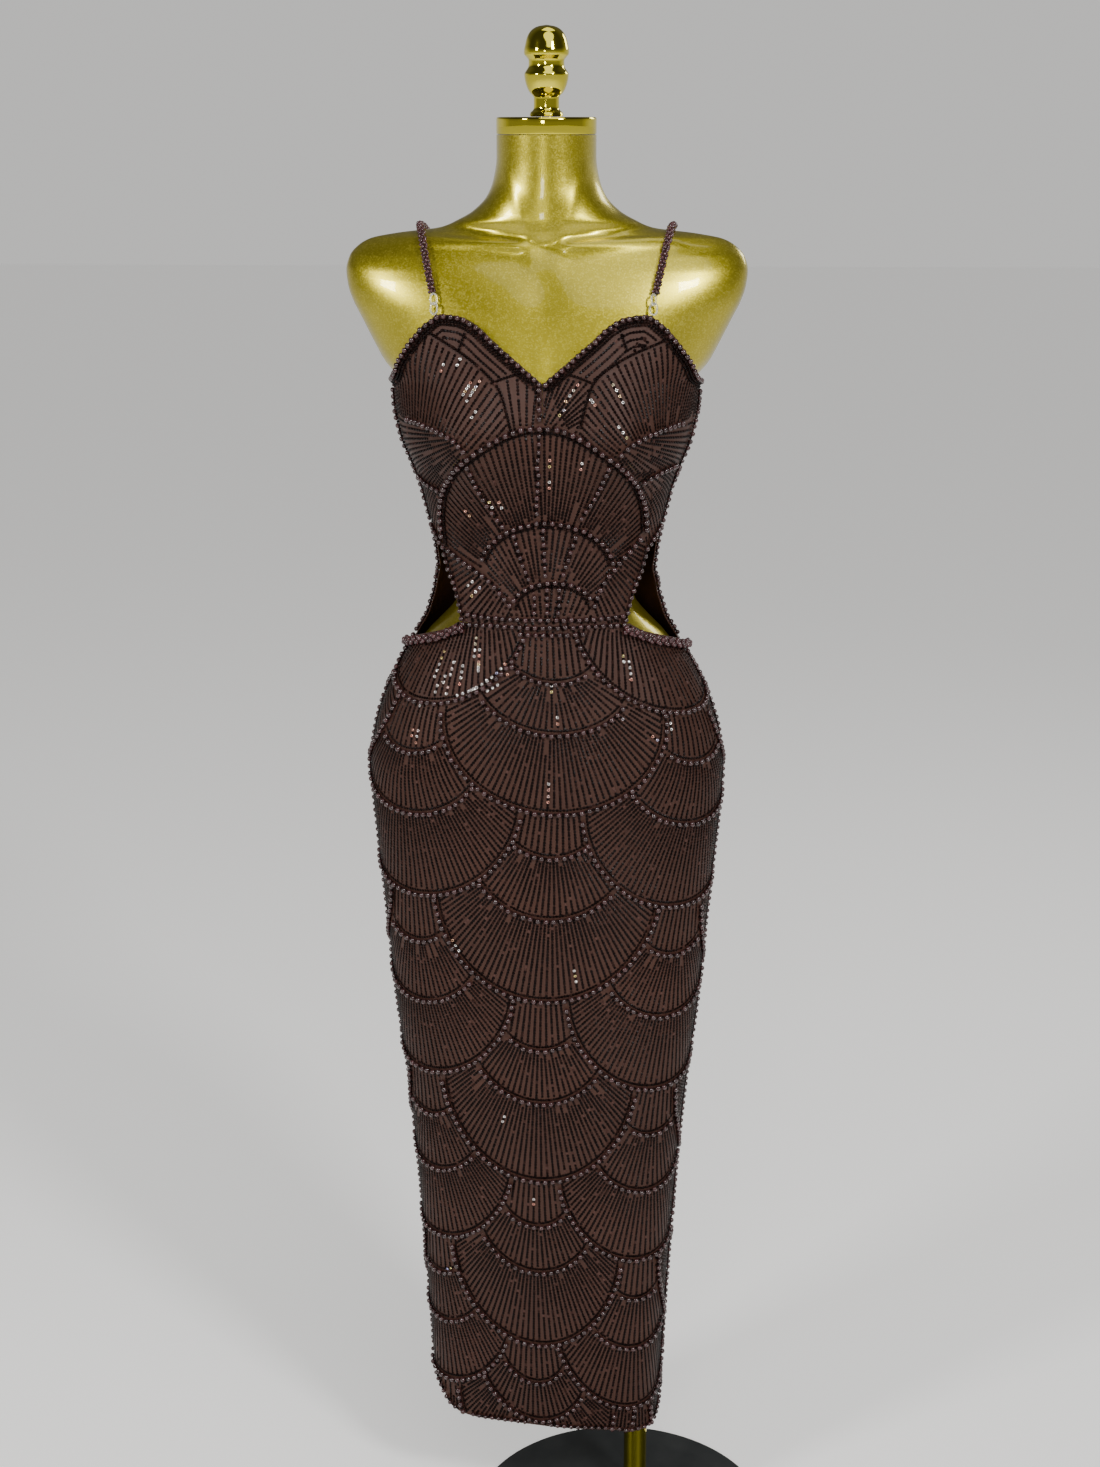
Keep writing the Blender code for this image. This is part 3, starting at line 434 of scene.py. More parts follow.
def makeGoldPaint():
    look = Finish("flakedGoldPaint", (0.40, 0.33, 0.03), metallic=0.88, coatWeight=0.45, coatRoughness=0.05)
    place = look.objectPlace()
    sockets = {"Vector": place, "Scale": paintLook["flakeScale"]}
    flake = look.add("ShaderNodeTexVoronoi", {"feature": "F1"}, sockets, "Color")
    spark = look.add("ShaderNodeSeparateColor", {}, {0: flake})
    cloud = look.noise(place, paintLook["cloudScale"], 3.0)
    grain = look.noise(place, paintLook["grainScale"], 2.0)
    deep = look.mixColour(cloud, (0.33, 0.275, 0.012), (0.43, 0.355, 0.020))
    look.drive("Base Color", look.mixColour(spark**3.0 * paintLook["flakeShine"], deep, (0.78, 0.68, 0.12)))
    look.drive("Roughness", spark * 0.08 + cloud * 0.06 + 0.25)
    look.bump(grain + spark * 0.3, 0.05, 0.0003)
    return look.material


def makePolishedGold():
    look = Finish("polishedGold", (0.72, 0.60, 0.05), metallic=1.0, roughness=0.08)
    place = look.objectPlace()
    smear = look.noise(place, 26.0, 4.0)
    look.drive("Base Color", look.mixColour(smear, (0.64, 0.54, 0.03), (0.76, 0.66, 0.07)))
    look.drive("Roughness", smear * 0.08 + 0.03)
    look.bump(look.noise(place, 240.0, 2.0), 0.03, 0.0002)
    return look.material


def makeBlackPlate():
    look = Finish("powderBlack", (0.018, 0.020, 0.020), metallic=0.1, specularIorLevel=0.4)
    place = look.objectPlace()
    dust = look.noise(place, 16.0, 5.0, 0.65)
    look.drive("Base Color", look.ramp(dust, (0.35, (0.013, 0.015, 0.015)), (0.8, (0.034, 0.036, 0.035))))
    look.drive("Roughness", dust * 0.22 + 0.42)
    look.bump(look.noise(place, 900.0, 2.0), 0.12, 0.0003)
    return look.material


def makeClearPlastic():
    look = Finish("clearLoop", (0.92, 0.92, 0.88), transmissionWeight=0.8, roughness=0.06, ior=1.45)
    return look.material


def makeThread():
    look = Finish("darkThread", (0.02, 0.01, 0.008), roughness=0.8)
    fibre = look.noise(look.objectPlace(), 900.0)
    look.drive("Base Color", look.mixColour(fibre, (0.012, 0.006, 0.005), (0.03, 0.015, 0.012)))
    return look.material


print("materials")
meshCloth = makeMeshCloth()
pearl = makePearl("plumPearl", (0.016, 0.006, 0.006), (0.052, 0.018, 0.018), 0.21)
smallPearl = makePearl("plumPearlSmall", (0.026, 0.006, 0.007), (0.068, 0.018, 0.020), 0.2)
sequin = makeSequin()
glint = makeGlint()
goldPaint = makeGoldPaint()
polishedGold = makePolishedGold()
blackPlate = makeBlackPlate()
clearPlastic = makeClearPlastic()
thread = makeThread()

# Camera, at the photo's height, tilt and distance
camera = {"distance": 2.07, "height": 1.48, "tilt": 16.1, "yaw": 2.5, "lens": 52.76, "shiftX": 0.0024}
yaw = math.radians(camera["yaw"])
bpy.ops.object.camera_add(
    location=(camera["distance"] * math.sin(yaw), -camera["distance"] * math.cos(yaw), camera["height"]),
    rotation=(math.radians(90 - camera["tilt"]), 0, yaw),
)
viewCamera = bpy.context.object
viewCamera.data.lens = camera["lens"]
viewCamera.data.sensor_width = 36
viewCamera.data.shift_x = camera["shiftX"]
bpy.context.scene.camera = viewCamera

# Seams of the pattern. The waist and the hem are u and height, and the rest are mm from the centre.
seams = {
    "waist": ((0, 1010), (0.85, 1010), (0.97, 1001), (1.2, 992), (1.42, 984), (1.5, 981)),
    "backWaist": ((1.5, 981), (1.8, 986), (2.3, 996), (3.0, 1000)),
    "hem": (
        ((-1.5, 180), (-1.25, 160), (-1.125, 146), (-1.0, 131), (-0.875, 127), (-0.75, 126), (0, 129))
        + ((0.5, 130), (0.75, 128), (0.875, 124), (1.125, 123), (1.25, 128), (1.5, 138))
        + ((3.0, 159), (4.5, 180))
    ),
    "neckline": (
        ((0, 1240), (25, 1261), (45, 1278), (61, 1292), (78, 1300), (95, 1301.5), (107, 1295), (118, 1286))
        + ((130, 1273), (142, 1261), (154, 1249.5))
    ),
    "armpit": 1238.0,
    "backNeck": 1226.0,
    "fan": {"z": 1103.0, "halfWidth": 109.0, "height": 102.0},
    "cutout": ((86, 1024), (92, 1040), (103, 1059), (109, 1078)),
    "over": ((109, 1078), (122, 1088)),
    "sideZ": 1096.0,
}


def lineAt(line, places):
    knots = np.array(line, float)
    inside = np.clip(np.asarray(places, float), knots[0, 0], knots[-1, 0])
    return through(knots[:, 0], knots[:, 1:2], inside.ravel()).reshape(np.shape(places))


def wrapped(u):
    return (np.asarray(u, float) + 1.5) % 6 - 1.5


def fromColumn(u, column):
    return (np.asarray(u) - column + 3) % 6 - 3


def hemAt(u):
    return lineAt(seams["hem"], wrapped(u))


def waistAt(u):
    across = np.abs(fromColumn(u, 0))
    waist = np.array(seams["waist"])
    back = np.array(seams["backWaist"])
    return np.where(across <= 1.5, np.interp(across, *waist.T), np.interp(across, *back.T))


def sideAt(z):
    return np.interp(z, dress.levels, dress.girth) / 4


neckLine = np.array((*seams["neckline"], (float(sideAt(seams["armpit"])), seams["armpit"])))


# Soft waves in the cloth: how far each stands out, the height where it does, and how far it reaches
crease = {"hem": (1.5, 125, 75), "band": (0.5, 945, 30), "waist": (0.45, 1030, 16)}


def hump(distance, reach):
    return np.exp(-((distance / reach) ** 2))


def creases(u, z):
    u, z = np.asarray(u, float), np.asarray(z, float)
    atHem, atBand, atWaist = (out * hump(z - height, reach) for out, height, reach in crease.values())
    waves = atHem * np.sin(u * 4.1 + 0.6) * np.sin(u * 1.7 + 1.9)
    waves = waves + atBand * hump(np.abs(wrapped(u)) - 1.15, 0.35) * np.sin(u * 46 + z * 0.05)
    return waves + atWaist * hump(u, 0.8) * np.sin(z * 0.55 + u * 3)


def onCloth(u, z, lift):
    return dress.at(u, z, clothWall + lift + creases(u, z))


# Cloth panels: a grid laid on the pattern, then given its wall inwards. Seams leave a gap up and down
# in mm, and across in u. A quarter of the girth is 1.5 in u.
cloth = {"thickness": 0.8, "gap": 0.15, "sideGap": 0.0015, "side": 1.5, "midriffFoot": 80.5}


def clothPanel(name, node, columns, rows, place):
    bpy.ops.mesh.primitive_grid_add(x_subdivisions=columns, y_subdivisions=rows, size=2, location=(0, 0, 0))
    piece = named(name)
    flat = getPoints(piece)
    u, z = place((flat[:, 0] + 1) / 2, (flat[:, 1] + 1) / 2)
    setPoints(piece, onCloth(u, z, 0.0))
    along = np.stack([u * np.interp(z, dress.levels, dress.girth) / 6, z], axis=1) * mm
    corner = np.empty(len(piece.data.loops), int)
    piece.data.loops.foreach_get("vertex_index", corner)
    layer = piece.data.uv_layers[0]
    layer.name = "cloth"
    layer.data.foreach_set("uv", along[corner].ravel())
    addModifier(piece, "SOLIDIFY", thickness=cloth["thickness"] * mm, offset=-1.0, use_even_offset=False)
    shadeSmooth(piece, 50)
    return finishPiece(piece, meshCloth, (node,))


def skirtPlace(start):
    def place(s, t):
        u = start + cloth["sideGap"] + s * 2 * (cloth["side"] - cloth["sideGap"])
        low, high = hemAt(u), waistAt(u) - cloth["gap"]
        return u, low + t * (high - low)

    return place


def midriffPlace(s, t):
    # straight sides up to the fan's corners, then its round top
    fan = seams["fan"]
    waist = seams["waist"][0][1]
    foot = waist + cloth["gap"]
    sides = 0.46
    z = np.where(
        t < sides,
        foot + (fan["z"] - foot) * t / sides,
        fan["z"] + fan["height"] * np.sin(np.clip((t - sides) / (1 - sides), 0, 0.997) * math.pi / 2),
    )
    edge = np.array(((cloth["midriffFoot"], waist), *seams["cutout"], (fan["halfWidth"], fan["z"])))
    straight = np.interp(z, edge[:, 1], edge[:, 0])
    arch = fan["halfWidth"] * np.sqrt(np.clip(1 - ((z - fan["z"]) / fan["height"]) ** 2, 0, 1))
    half = np.where(z < fan["z"], straight, arch) - cloth["gap"]
    return dress.uAt((2 * s - 1) * half, z), z


def cupPlace(side):
    # the lower edge follows the fan's arch, then the edge over the cut-out; the upper is the neckline
    fan = seams["fan"]
    (cornerX, cornerZ), overEnd = seams["over"]
    sideLow = float(sideAt(seams["sideZ"]))
    over = np.array(((cornerX, cornerZ), overEnd, (sideLow, seams["sideZ"])))
    inner = 0.6

    def place(s, t):
        s = s if side > 0 else 1 - s
        turn = np.clip(s / inner, 0, 1) * math.pi / 2
        past = np.clip((s - inner) / (1 - inner), 0, 1)
        arcX = cloth["gap"] + fan["halfWidth"] * np.sin(turn)
        arcZ = fan["z"] + fan["height"] * np.cos(turn)
        lowX = np.where(s < inner, arcX, cornerX + (sideLow - cornerX) * past)
        lowZ = np.where(s < inner, arcZ, np.interp(lowX, over[:, 0], over[:, 1]))
        lowZ = np.where((s >= inner) & (past <= 0), float(cornerZ), lowZ)
        topX = np.where(s < inner, arcX, cornerX + (neckLine[-1, 0] - cornerX) * past)
        topZ = lineAt(neckLine, topX)
        z = lowZ + cloth["gap"] + t * (topZ - lowZ)
        edge = cloth["side"] - cloth["sideGap"]
        u = np.minimum(dress.uAt(lowX + t * (topX - lowX), z), edge)
        return side * np.where(past >= 1, edge, u), z

    return place


def backNeckAt(u):
    # the back neckline, which dips from the armpits to the centre back
    across = np.clip(np.abs(fromColumn(u, 3)) / cloth["side"], 0, 1)
    return seams["armpit"] - (1 - across**1.4) * (seams["armpit"] - seams["backNeck"])


def backPlace(s, t):
    u = cloth["side"] + cloth["sideGap"] + s * 2 * (cloth["side"] - cloth["sideGap"])
    low = waistAt(u) + cloth["gap"]
    return u, low + t * (backNeckAt(u) - low)


print("cloth panels")
skirtFront = clothPanel("skirtFrontCloth", "skirt_front", 88, 140, skirtPlace(-1.5))
skirtBack = clothPanel("skirtBackCloth", "skirt_back", 88, 140, skirtPlace(1.5))
midriff = clothPanel("midriffCloth", "midriff_front", 50, 48, midriffPlace)
cupRight = clothPanel("cupRightCloth", "cup_right", 44, 30, cupPlace(1))
cupLeft = clothPanel("cupLeftCloth", "cup_left", 44, 30, cupPlace(-1))
bodiceBack = clothPanel("bodiceBackCloth", "bodice_back", 90, 44, backPlace)

# Scales of the skirt, as in the part, with the height over the foot where each tier's rows meet
scale = {"radius": 112.0, "span": 0.81, "pitch": 150.0}
evenScales = (
    (1028, 81, 1119, 51, 1180, 185, 210, 365),
    (828, 104, 907, 80, 956, 152, 156, 345),
    (629, 81, 717, 51, 782, 185, 210, 365),
    (424, 81, 514, 51, 574, 185, 210, 365),
    (228, 81, 315, 51, 370, 185, 210, 365),
    (50, 81, 135, 51, 181, 178, 200, 350),
)
oddScales = (
    (1122, 81, 1208, 51, 1268, 185, 210, 365),
    (925, 81, 1016, 51, 1079, 165, 210, 365),
    (728, 81, 813, 51, 875, 185, 210, 365),
    (531, 81, 610, 51, 676, 175, 200, 360),
    (336, 81, 415, 51, 479, 175, 200, 350),
    (160, 81, 231, 51, 289, 172, 195, 350),
)
backOnly = (1028, 1122)

# The pattern turns a little round the body on its way down, and slopes from side to side.
turnKnots = ((90, -0.09), (230, -0.10), (430, -0.07), (630, -0.023), (750, 0.036), (830, 0.062))
turnKnots = np.array((*turnKnots, (925, 0.072), (1010, 0.07), (1240, 0.0)))
slopeDepth = 6.0


def fromPattern(u, z):
    # a place of the pattern as the place on the body where it lies
    bodyZ = z - slopeDepth * np.sin(np.asarray(u) * math.pi / 3)
    return u + np.interp(bodyZ, turnKnots[:, 0], turnKnots[:, 1]), bodyZ


def scaleList():
    made = []
    for column in range(-1, 5):
        for row in evenScales if column % 2 == 0 else oddScales:
            if row[0] in backOnly and column not in (2, 3, 4):
                continue
            made.append((column, row))
    return sorted(made, key=lambda item: -item[1][0])


def within(u, z, column, foot, radius, margin=0.0):
    across = fromColumn(u, column) * scale["pitch"]
    span = radius / scale["radius"] * scale["span"] * scale["pitch"] + margin
    return (across / span) ** 2 + ((z - foot - radius) / (radius + margin)) ** 2 < 1


def hiddenBy(upper, u, z, margin):
    covered = np.zeros(np.shape(u), bool)
    for column, row in upper:
        covered |= within(u, z, column, row[0], scale["radius"], margin)
    return covered


# Beads and sequins are gathered by panel first, and joined into one mesh each.
bead = {"arc": 2.75, "seed": 1.55, "sunk": 0.82, "seedSunk": 0.7, "crowding": 0.86, "spread": 0.05}
beadWander = {"u": 0.0022, "z": 0.25}
panels = ("skirtFront", "skirtBack", "midriff", "cupLeft", "cupRight", "bodiceBack")
cups = ((-1, "cupLeft"), (1, "cupRight"))
beadSpots = {name: [] for name in panels}
seedSpots = {name: [] for name in panels}
sequinSpots = {name: [] for name in panels}
placedBeads = [np.empty((0, 4))]


def spacedAlong(u, z, pitch):
    run = runAlong(onCloth(u, z, 1.9))
    places = np.linspace(0, run[-1], max(1, round(run[-1] / pitch)) + 1)
    return np.interp(places, run, u), np.interp(places, run, z)


def addSeeds(panel, u, z, radius):
    spots = onCloth(u, z, radius * bead["seedSunk"])
    seedSpots[panel].append(np.column_stack([spots, np.full(len(spots), radius), dress.out(u, z)]))


def addBeads(panel, u, z, radius, pitch):
    # beads along a row, but for those that would run into placed ones, and near-black seed beads in the gaps
    # between, partly seed beads and partly painted shade
    u, z = spacedAlong(np.asarray(u, float), np.asarray(z, float), pitch)
    u = u + rng.normal(0, beadWander["u"], len(u))
    z = z + rng.normal(0, beadWander["z"], len(z))
    size = radius * rng.uniform(1 - bead["spread"], 1 + bead["spread"], len(u))
    points = onCloth(u, z, size * bead["sunk"])
    taken = np.concatenate(placedBeads)
    kept = []
    for index, point in enumerate(points):
        gap = np.linalg.norm(taken[:, :3] - point, axis=1)
        if np.all(gap > bead["crowding"] * (taken[:, 3] + size[index])):
            kept.append(index)
    placedBeads.append(np.column_stack([points[kept], size[kept]]))
    beadSpots[panel].append(np.column_stack([points[kept], size[kept], dress.out(u[kept], z[kept])]))
    # the gaps between neighbouring beads get near-black seed beads, which also stand for the shade there
    between = np.array([index for index in kept[:-1] if index + 1 in kept], int)
    if len(between):
        addSeeds(panel, (u[between] + u[between + 1]) / 2, (z[between] + z[between + 1]) / 2, bead["seed"])


def drawnLine(line):
    # a line as mm round from the centre front and height, rounded off between its points
    knots = np.array(line, float)
    run = runAlong(knots)
    dense = through(run, knots, np.arange(0, run[-1], 1.0))
    return dress.uAt(dense[:, 0], dense[:, 1]), dense[:, 1]


def beadLine(panel, line, radius=bead["arc"], pitch=7.6):
    addBeads(panel, *drawnLine(line), radius, pitch)


def seedLine(panel, line, radius=1.5, pitch=3.0):
    addSeeds(panel, *spacedAlong(*drawnLine(line), pitch), radius)


def movedIn(line, inset):
    # a line moved to the right of its own direction
    line = np.array(line, float)
    ahead = np.gradient(line, axis=0)
    ahead /= np.hypot(*ahead.T)[:, None]
    return line + inset * np.column_stack([ahead[:, 1], -ahead[:, 0]])


def neckEdge(inset):
    # the right half of the neckline, from the centre to the armpit
    across = np.linspace(0.5, neckLine[-1, 0], 160)
    return movedIn(np.column_stack([across, lineAt(neckLine, across)]), inset)


def neckRow(side, inset):
    edge = neckEdge(inset)
    shown = (edge[:, 0] > 2.5) & (edge[:, 0] < sideAt(seams["armpit"]) - 2.5)
    return edge[shown][::6] * (side, 1)


print("bead rows")
# Edges first: neckline, side seams, cut-outs and waist
for side, panel in cups:
    beadLine(panel, neckRow(side, 2.2), 2.7, 6.6)
    seedLine(panel, neckRow(side, 5.8), 1.7, 3.2)
    seedLine(panel, neckRow(side, 8.8), 1.5, 3.1)
beadLine("cupLeft", [(-3, 1235), (-3.5, 1222), (-3, 1209)], 2.7, 7.8)
for side, panel in cups:
    heights = np.arange(1102.0, 1238.0, 4.0)
    seam = np.column_stack([side * (sideAt(heights) - 3.0), heights])
    beadLine(panel, seam, 2.5, 6.9)
    over = [(side * 111, 1083), (side * 122, 1092), (side * (float(sideAt(1096)) - 3), 1100)]
    beadLine(panel, over, 2.5, 6.6)
    cut = [(side * (x - 3.2), z) for x, z in ((109, 1079), (103, 1059), (92, 1040), (86.5, 1024), (83, 1013))]
    beadLine("midriff", cut, 2.45, 7.0)
    heights = np.arange(986.0, 1096.0, 3.0)
    beadLine("bodiceBack", np.column_stack([side * (sideAt(heights) + 3.4), heights]), 2.4, 6.4)


# The midriff's fan: three plain arcs over each other, its lower sides, spokes and columns
def fanArc(centreX, centreZ, halfWidth, height, start, end):
    turn = np.radians(np.linspace(start, end, 17))
    return list(zip(centreX + halfWidth * np.cos(turn), centreZ + height * np.sin(turn)))


archLine = fanArc(-2, 1096, 104, 105, 188, 1)
innerArc = fanArc(3.5, 1059, 64, 51, 164, 11)
smallArc = fanArc(9, 1026, 38.5, 27, 176, 8)
lowerLeft = [(-97, 1077), (-69, 1063), (-49, 1050), (-31, 1030)]
lowerRight = [(95, 1090), (72, 1068), (57, 1050), (48, 1030)]
beadLine("midriff", archLine, 2.9, 8.3)
beadLine("midriff", lowerLeft, 2.75, 7.9)
beadLine("midriff", lowerRight, 2.75, 7.9)
beadLine("midriff", innerArc, 2.6, 7.6)
beadLine("midriff", smallArc, 2.6, 7.6)
for line, inset in ((archLine, 4.3), (innerArc, 4.0), (smallArc, 4.0)):
    seedLine("midriff", movedIn(line, inset), 1.5, 3.1)
beadLine("midriff", [(-80, 1017.5), (-40, 1017), (0, 1017), (40, 1017), (76, 1017.5)], 2.6, 7.4)
for spoke in (
    [(-70, 1167), (-53, 1129), (-38, 1106)],
    [(66, 1173), (48, 1136), (32, 1108)],
    [(-3, 1194), (-6, 1112)],
    [(-27, 1097), (-18, 1067), (-13, 1056)],
    [(0, 1103), (2, 1060)],
    [(30, 1096), (19, 1060)],
    [(-8, 1046), (-8, 1023)],
    [(4, 1046), (4, 1023)],
    [(15, 1046), (15, 1023)],
):
    beadLine("midriff", spoke, 2.45, 7.7)
beadLine("skirtFront", [(-78, 1008.5), (-35, 1010), (0, 1009.5), (48, 1010), (78, 1008.5)], 2.6, 7.4)
beadLine("skirtFront", [(-21, 1003), (0, 1002.5), (38, 1003)], 2.6, 7.4)

# Lines of the cups, the upper and the lower of each
cupLines = {
    -1: (
        [(-73, 1182), (-85, 1191), (-113, 1199), (-150, 1203), (-175, 1205)],
        [(-99, 1137), (-143, 1147), (-175, 1151)],
    ),
    1: (
        [(75, 1180), (88, 1189), (119, 1197), (152, 1201), (175, 1204)],
        [(90, 1147), (116, 1156), (151, 1160), (175, 1163)],
    ),
}
for which, radius, pitch in ((0, 2.6, 7.2), (1, 2.5, 7.0)):
    for side, panel in cups:
        beadLine(panel, cupLines[side][which][:-1], radius, pitch)
# black rows that part each cup's fan from the rows along its neckline
cupArcs = {
    -1: [(-31, 1200), (-40, 1234), (-61, 1257), (-107, 1286)],
    1: [(38, 1203), (47, 1240), (70, 1260), (113, 1279)],
}
for side, panel in cups:
    seedLine(panel, cupArcs[side], 1.6, 3.0)
    seedLine(panel, [(side * 24, 1249), (side * 34, 1246), (side * 47, 1241)], 1.5, 3.0)
    seedLine(panel, [(side * 72, 1284), (side * 77, 1270)], 1.5, 3.0)

# Arcs of the scales, the upper ones over the lower ones
scales = scaleList()
for column, row in scales:
    foot, middleRadius, middleFoot, innerRadius, innerFoot = row[:5]
    upper = [other for other in scales if other[1][0] > foot]
    for radius, low in ((scale["radius"], foot), (middleRadius, middleFoot), (innerRadius, innerFoot)):
        turn = np.linspace(math.pi, 2 * math.pi, 481)
        flatU = column + radius / scale["radius"] * scale["span"] * np.cos(turn)
        flatZ = low + radius + radius * np.sin(turn)
        u, z = fromPattern(flatU, flatZ)
        onBack = np.abs(fromColumn(u, 3)) < 1.5
        top = np.where(onBack, 1222.0, waistAt(u) - 5)
        seam = np.abs(z - waistAt(u)) < 4
        shown = (z < top) & (z > hemAt(u) + 2.5) & ~hiddenBy(upper, flatU, flatZ, 3.6) & ~seam
        edges = np.flatnonzero(np.diff(np.concatenate([[False], shown, [False]]).astype(int)))
        for start, end in zip(edges[::2], edges[1::2]):
            if end - start < 8:
                continue
            part = slice(start, end)
            middle = (start + end) // 2
            if z[middle] > waistAt(u[middle]):
                panel = "bodiceBack"
            else:
                panel = "skirtFront" if abs(wrapped(u[middle])) < 1.5 else "skirtBack"
            addBeads(panel, u[part], z[part], bead["arc"], 7.7)

# Hem and side seams of the skirt, back neckline and the short row at the hem's right corner
for panel, low, high in (("skirtFront", -1.06, 0.96), ("skirtBack", 2.0, 4.2)):
    around = np.linspace(low, high, 200)
    addBeads(panel, around, hemAt(around) + 3.2, 2.4, 7.4)
for seamU in (-1.47, 1.47):
    heights = np.linspace(hemAt(seamU) + 4, 968.0, 400)
    addBeads("skirtFront", np.full(400, seamU), heights, 2.4, 6.9)
for low, high, pitch in ((-1.47, -1.02, 6.6), (0.98, 1.47, 6.8)):
    around = np.linspace(low, high, 60)
    addBeads("skirtFront", around, hemAt(around) + 3, 2.4, pitch)
addBeads("skirtFront", np.linspace(0.93, 0.88, 40), np.linspace(158, 128, 40), 2.6, 7.0)
around = np.linspace(1.52, 4.48, 300)
addBeads("bodiceBack", around, backNeckAt(around) - 3.5, 2.6, 7.0)
print("beads:", sum(len(part) for parts in beadSpots.values() for part in parts))


# Sequins: rows that spread from an apex, cut to each cell and kept off the beads
sequins = {"row": 6.6, "pitch": 3.0, "radius": 1.72, "clear": 0.9, "closest": 2.9, "lift": 0.7, "inside": 4.4}
sequinLevels = {"foot": 100.0, "top": 1260.0}


def treeOf(points):
    tree = KDTree(len(points))
    for index, point in enumerate(points):
        tree.insert(point, index)
    tree.balance()
    return tree


beads = np.concatenate(placedBeads)
beadTree = treeOf(beads[:, :3])


def rowsFrom(apexX, apexZ, low, high, nearest, farthest, spacing=sequins["row"]):
    # angles are degrees from straight up; rows thin out to every other one where they crowd
    step = spacing / farthest
    angles = np.radians(low) + np.arange(0, math.radians(high - low), step) + step / 2
    reach = np.arange(nearest, farthest, sequins["pitch"])
    jitter = rng.uniform(0, sequins["pitch"], len(angles))[:, None]
    distance = reach[None, :] + jitter + rng.normal(0, 0.12, (len(angles), len(reach)))
    across = apexX + distance * np.sin(angles)[:, None]
    z = apexZ + distance * np.cos(angles)[:, None]
    gap = distance * step
    order = np.arange(len(angles))[:, None]
    closest = sequins["closest"] * rng.uniform(0.85, 1.35, len(angles))[:, None]
    keep = gap > closest
    for every in (2, 4):
        keep |= (order % every == 0) & (every * gap > closest)
    return across, z, keep


def addSequins(panel, u, z, keep):
    points = onCloth(u, z, sequins["lift"])
    along = np.gradient(points, axis=1)
    for row, column in zip(*np.nonzero(keep)):
        point = points[row, column]
        index, gap = beadTree.find(point)[1:]
        if gap >= beads[index, 3] + sequins["clear"]:
            sequinSpots[panel].append((*point, *along[row, column], u[row, column], z[row, column]))


def insidePolygon(x, z, polygon):
    inside = np.zeros(np.shape(x), bool)
    corners = np.array(polygon, float)
    for (x0, z0), (x1, z1) in zip(corners, np.roll(corners, -1, axis=0)):
        crosses = (z0 > z) != (z1 > z)
        inside ^= crosses & (x < x0 + (z - z0) * (x1 - x0) / ((z1 - z0) or 1e-9))
    return inside


def sewOnPanels(flatU, flatZ, keep, upper):
    # what the scales above leave free, shared out between the skirt and the back bodice
    keep = keep & ~hiddenBy(upper, flatU, flatZ, 1.5)
    u, z = fromPattern(flatU, flatZ)
    keep &= z > hemAt(u) + 2.0
    seam = waistAt(u)
    fromBack = np.abs(fromColumn(u, 3))
    below = z < seam - 2.2
    above = (z > seam + 2.2) & (z < backNeckAt(u) - 3)
    addSequins("skirtFront", u, z, keep & below & (np.abs(wrapped(u)) < 1.49))
    addSequins("skirtBack", u, z, keep & below & (fromBack < 1.49))
    addSequins("bodiceBack", u, z, keep & above & (fromBack < 1.48))


# how far the rows of a scale spread about its axis and where they start, by how near the apex is
farApex = 250
rowSpread = {"near": (88, 25), "far": (24, 130)}


def sewCell(column, foot, upper, outer, low, inner, innerLow, apex):
    # the cell between two arcs of a scale, with one black row just inside its beads
    spread, start = rowSpread["near" if apex < farApex else "far"]
    across, z, keep = rowsFrom(0, foot + apex, 180 - spread, 180 + spread, start, foot + apex - low + 2)
    z = np.clip(z, sequinLevels["foot"], sequinLevels["top"])
    flatU = column + 6 * across / np.interp(z, dress.levels, dress.girth)
    keep &= within(flatU, z, column, low, outer, -1.5 - sequins["inside"])
    if inner:
        keep &= ~within(flatU, z, column, innerLow, inner, 1.0)
    sewOnPanels(flatU, z, keep, upper)
    ring = outer - sequins["inside"]
    turn = np.linspace(math.pi, 2 * math.pi, int(math.pi * ring / sequins["pitch"]))[None, :]
    ringU = column + ring / scale["radius"] * scale["span"] * np.cos(turn)
    ringZ = np.clip(low + outer + ring * np.sin(turn), sequinLevels["foot"], sequinLevels["top"])
    sewOnPanels(ringU, ringZ, np.full(ringU.shape, True), upper)


print("sequin rows")
for column, row in scales:
    foot, middleRadius, middleFoot, innerRadius, innerFoot, outerApex, middleApex, innerApex = row
    upper = [other for other in scales if other[1][0] > foot]
    sewCell(column, foot, upper, scale["radius"], foot, middleRadius, middleFoot, outerApex)
    sewCell(column, foot, upper, middleRadius, middleFoot, innerRadius, innerFoot, middleApex)
    sewCell(column, foot, upper, innerRadius, innerFoot, 0.0, 0.0, innerApex)

tierThree = archLine + lowerRight[:2] + innerArc[::-1] + [(-62, 1060)] + lowerLeft[1::-1]
tierTwo = innerArc + lowerRight[2:] + smallArc[::-1] + lowerLeft[:1:-1]
tierOne = smallArc + [(46, 1019), (-30, 1019)]
cornerLeft = [(-104, 1079), (-101, 1060), (-90, 1040), (-84, 1024), (-79, 1012), (-28, 1012), (-31, 1028)]
cornerRight = [(104, 1090), (106, 1078), (101, 1060), (90, 1040), (84, 1024), (79, 1012), (48, 1012)]
cornerLeft += lowerLeft[::-1]
cornerRight += [(48, 1028), *lowerRight[::-1]]
for polygon, apex, low, high, near, far in (
    (tierThree, (2, 1035), -100, 100, 30, 172),
    (tierTwo, (2, 1010), -75, 75, 20, 102),
    (tierOne, (2, 960), -45, 45, 20, 96),
    (cornerLeft, (10, 1118), 180, 262, 30, 150),
    (cornerRight, (18, 1118), 98, 180, 30, 135),
    ([(-79, 1016), (-79, 1011.5), (79, 1011.5), (79, 1016)], (2, 2400), 176, 184, 1382, 1391),
):
    across, z, keep = rowsFrom(*apex, low, high, near, far)
    keep &= insidePolygon(across, z, polygon)
    z = np.clip(z, 1011.0, 1204.0)
    addSequins("midriff", dress.uAt(across, z), z, keep)

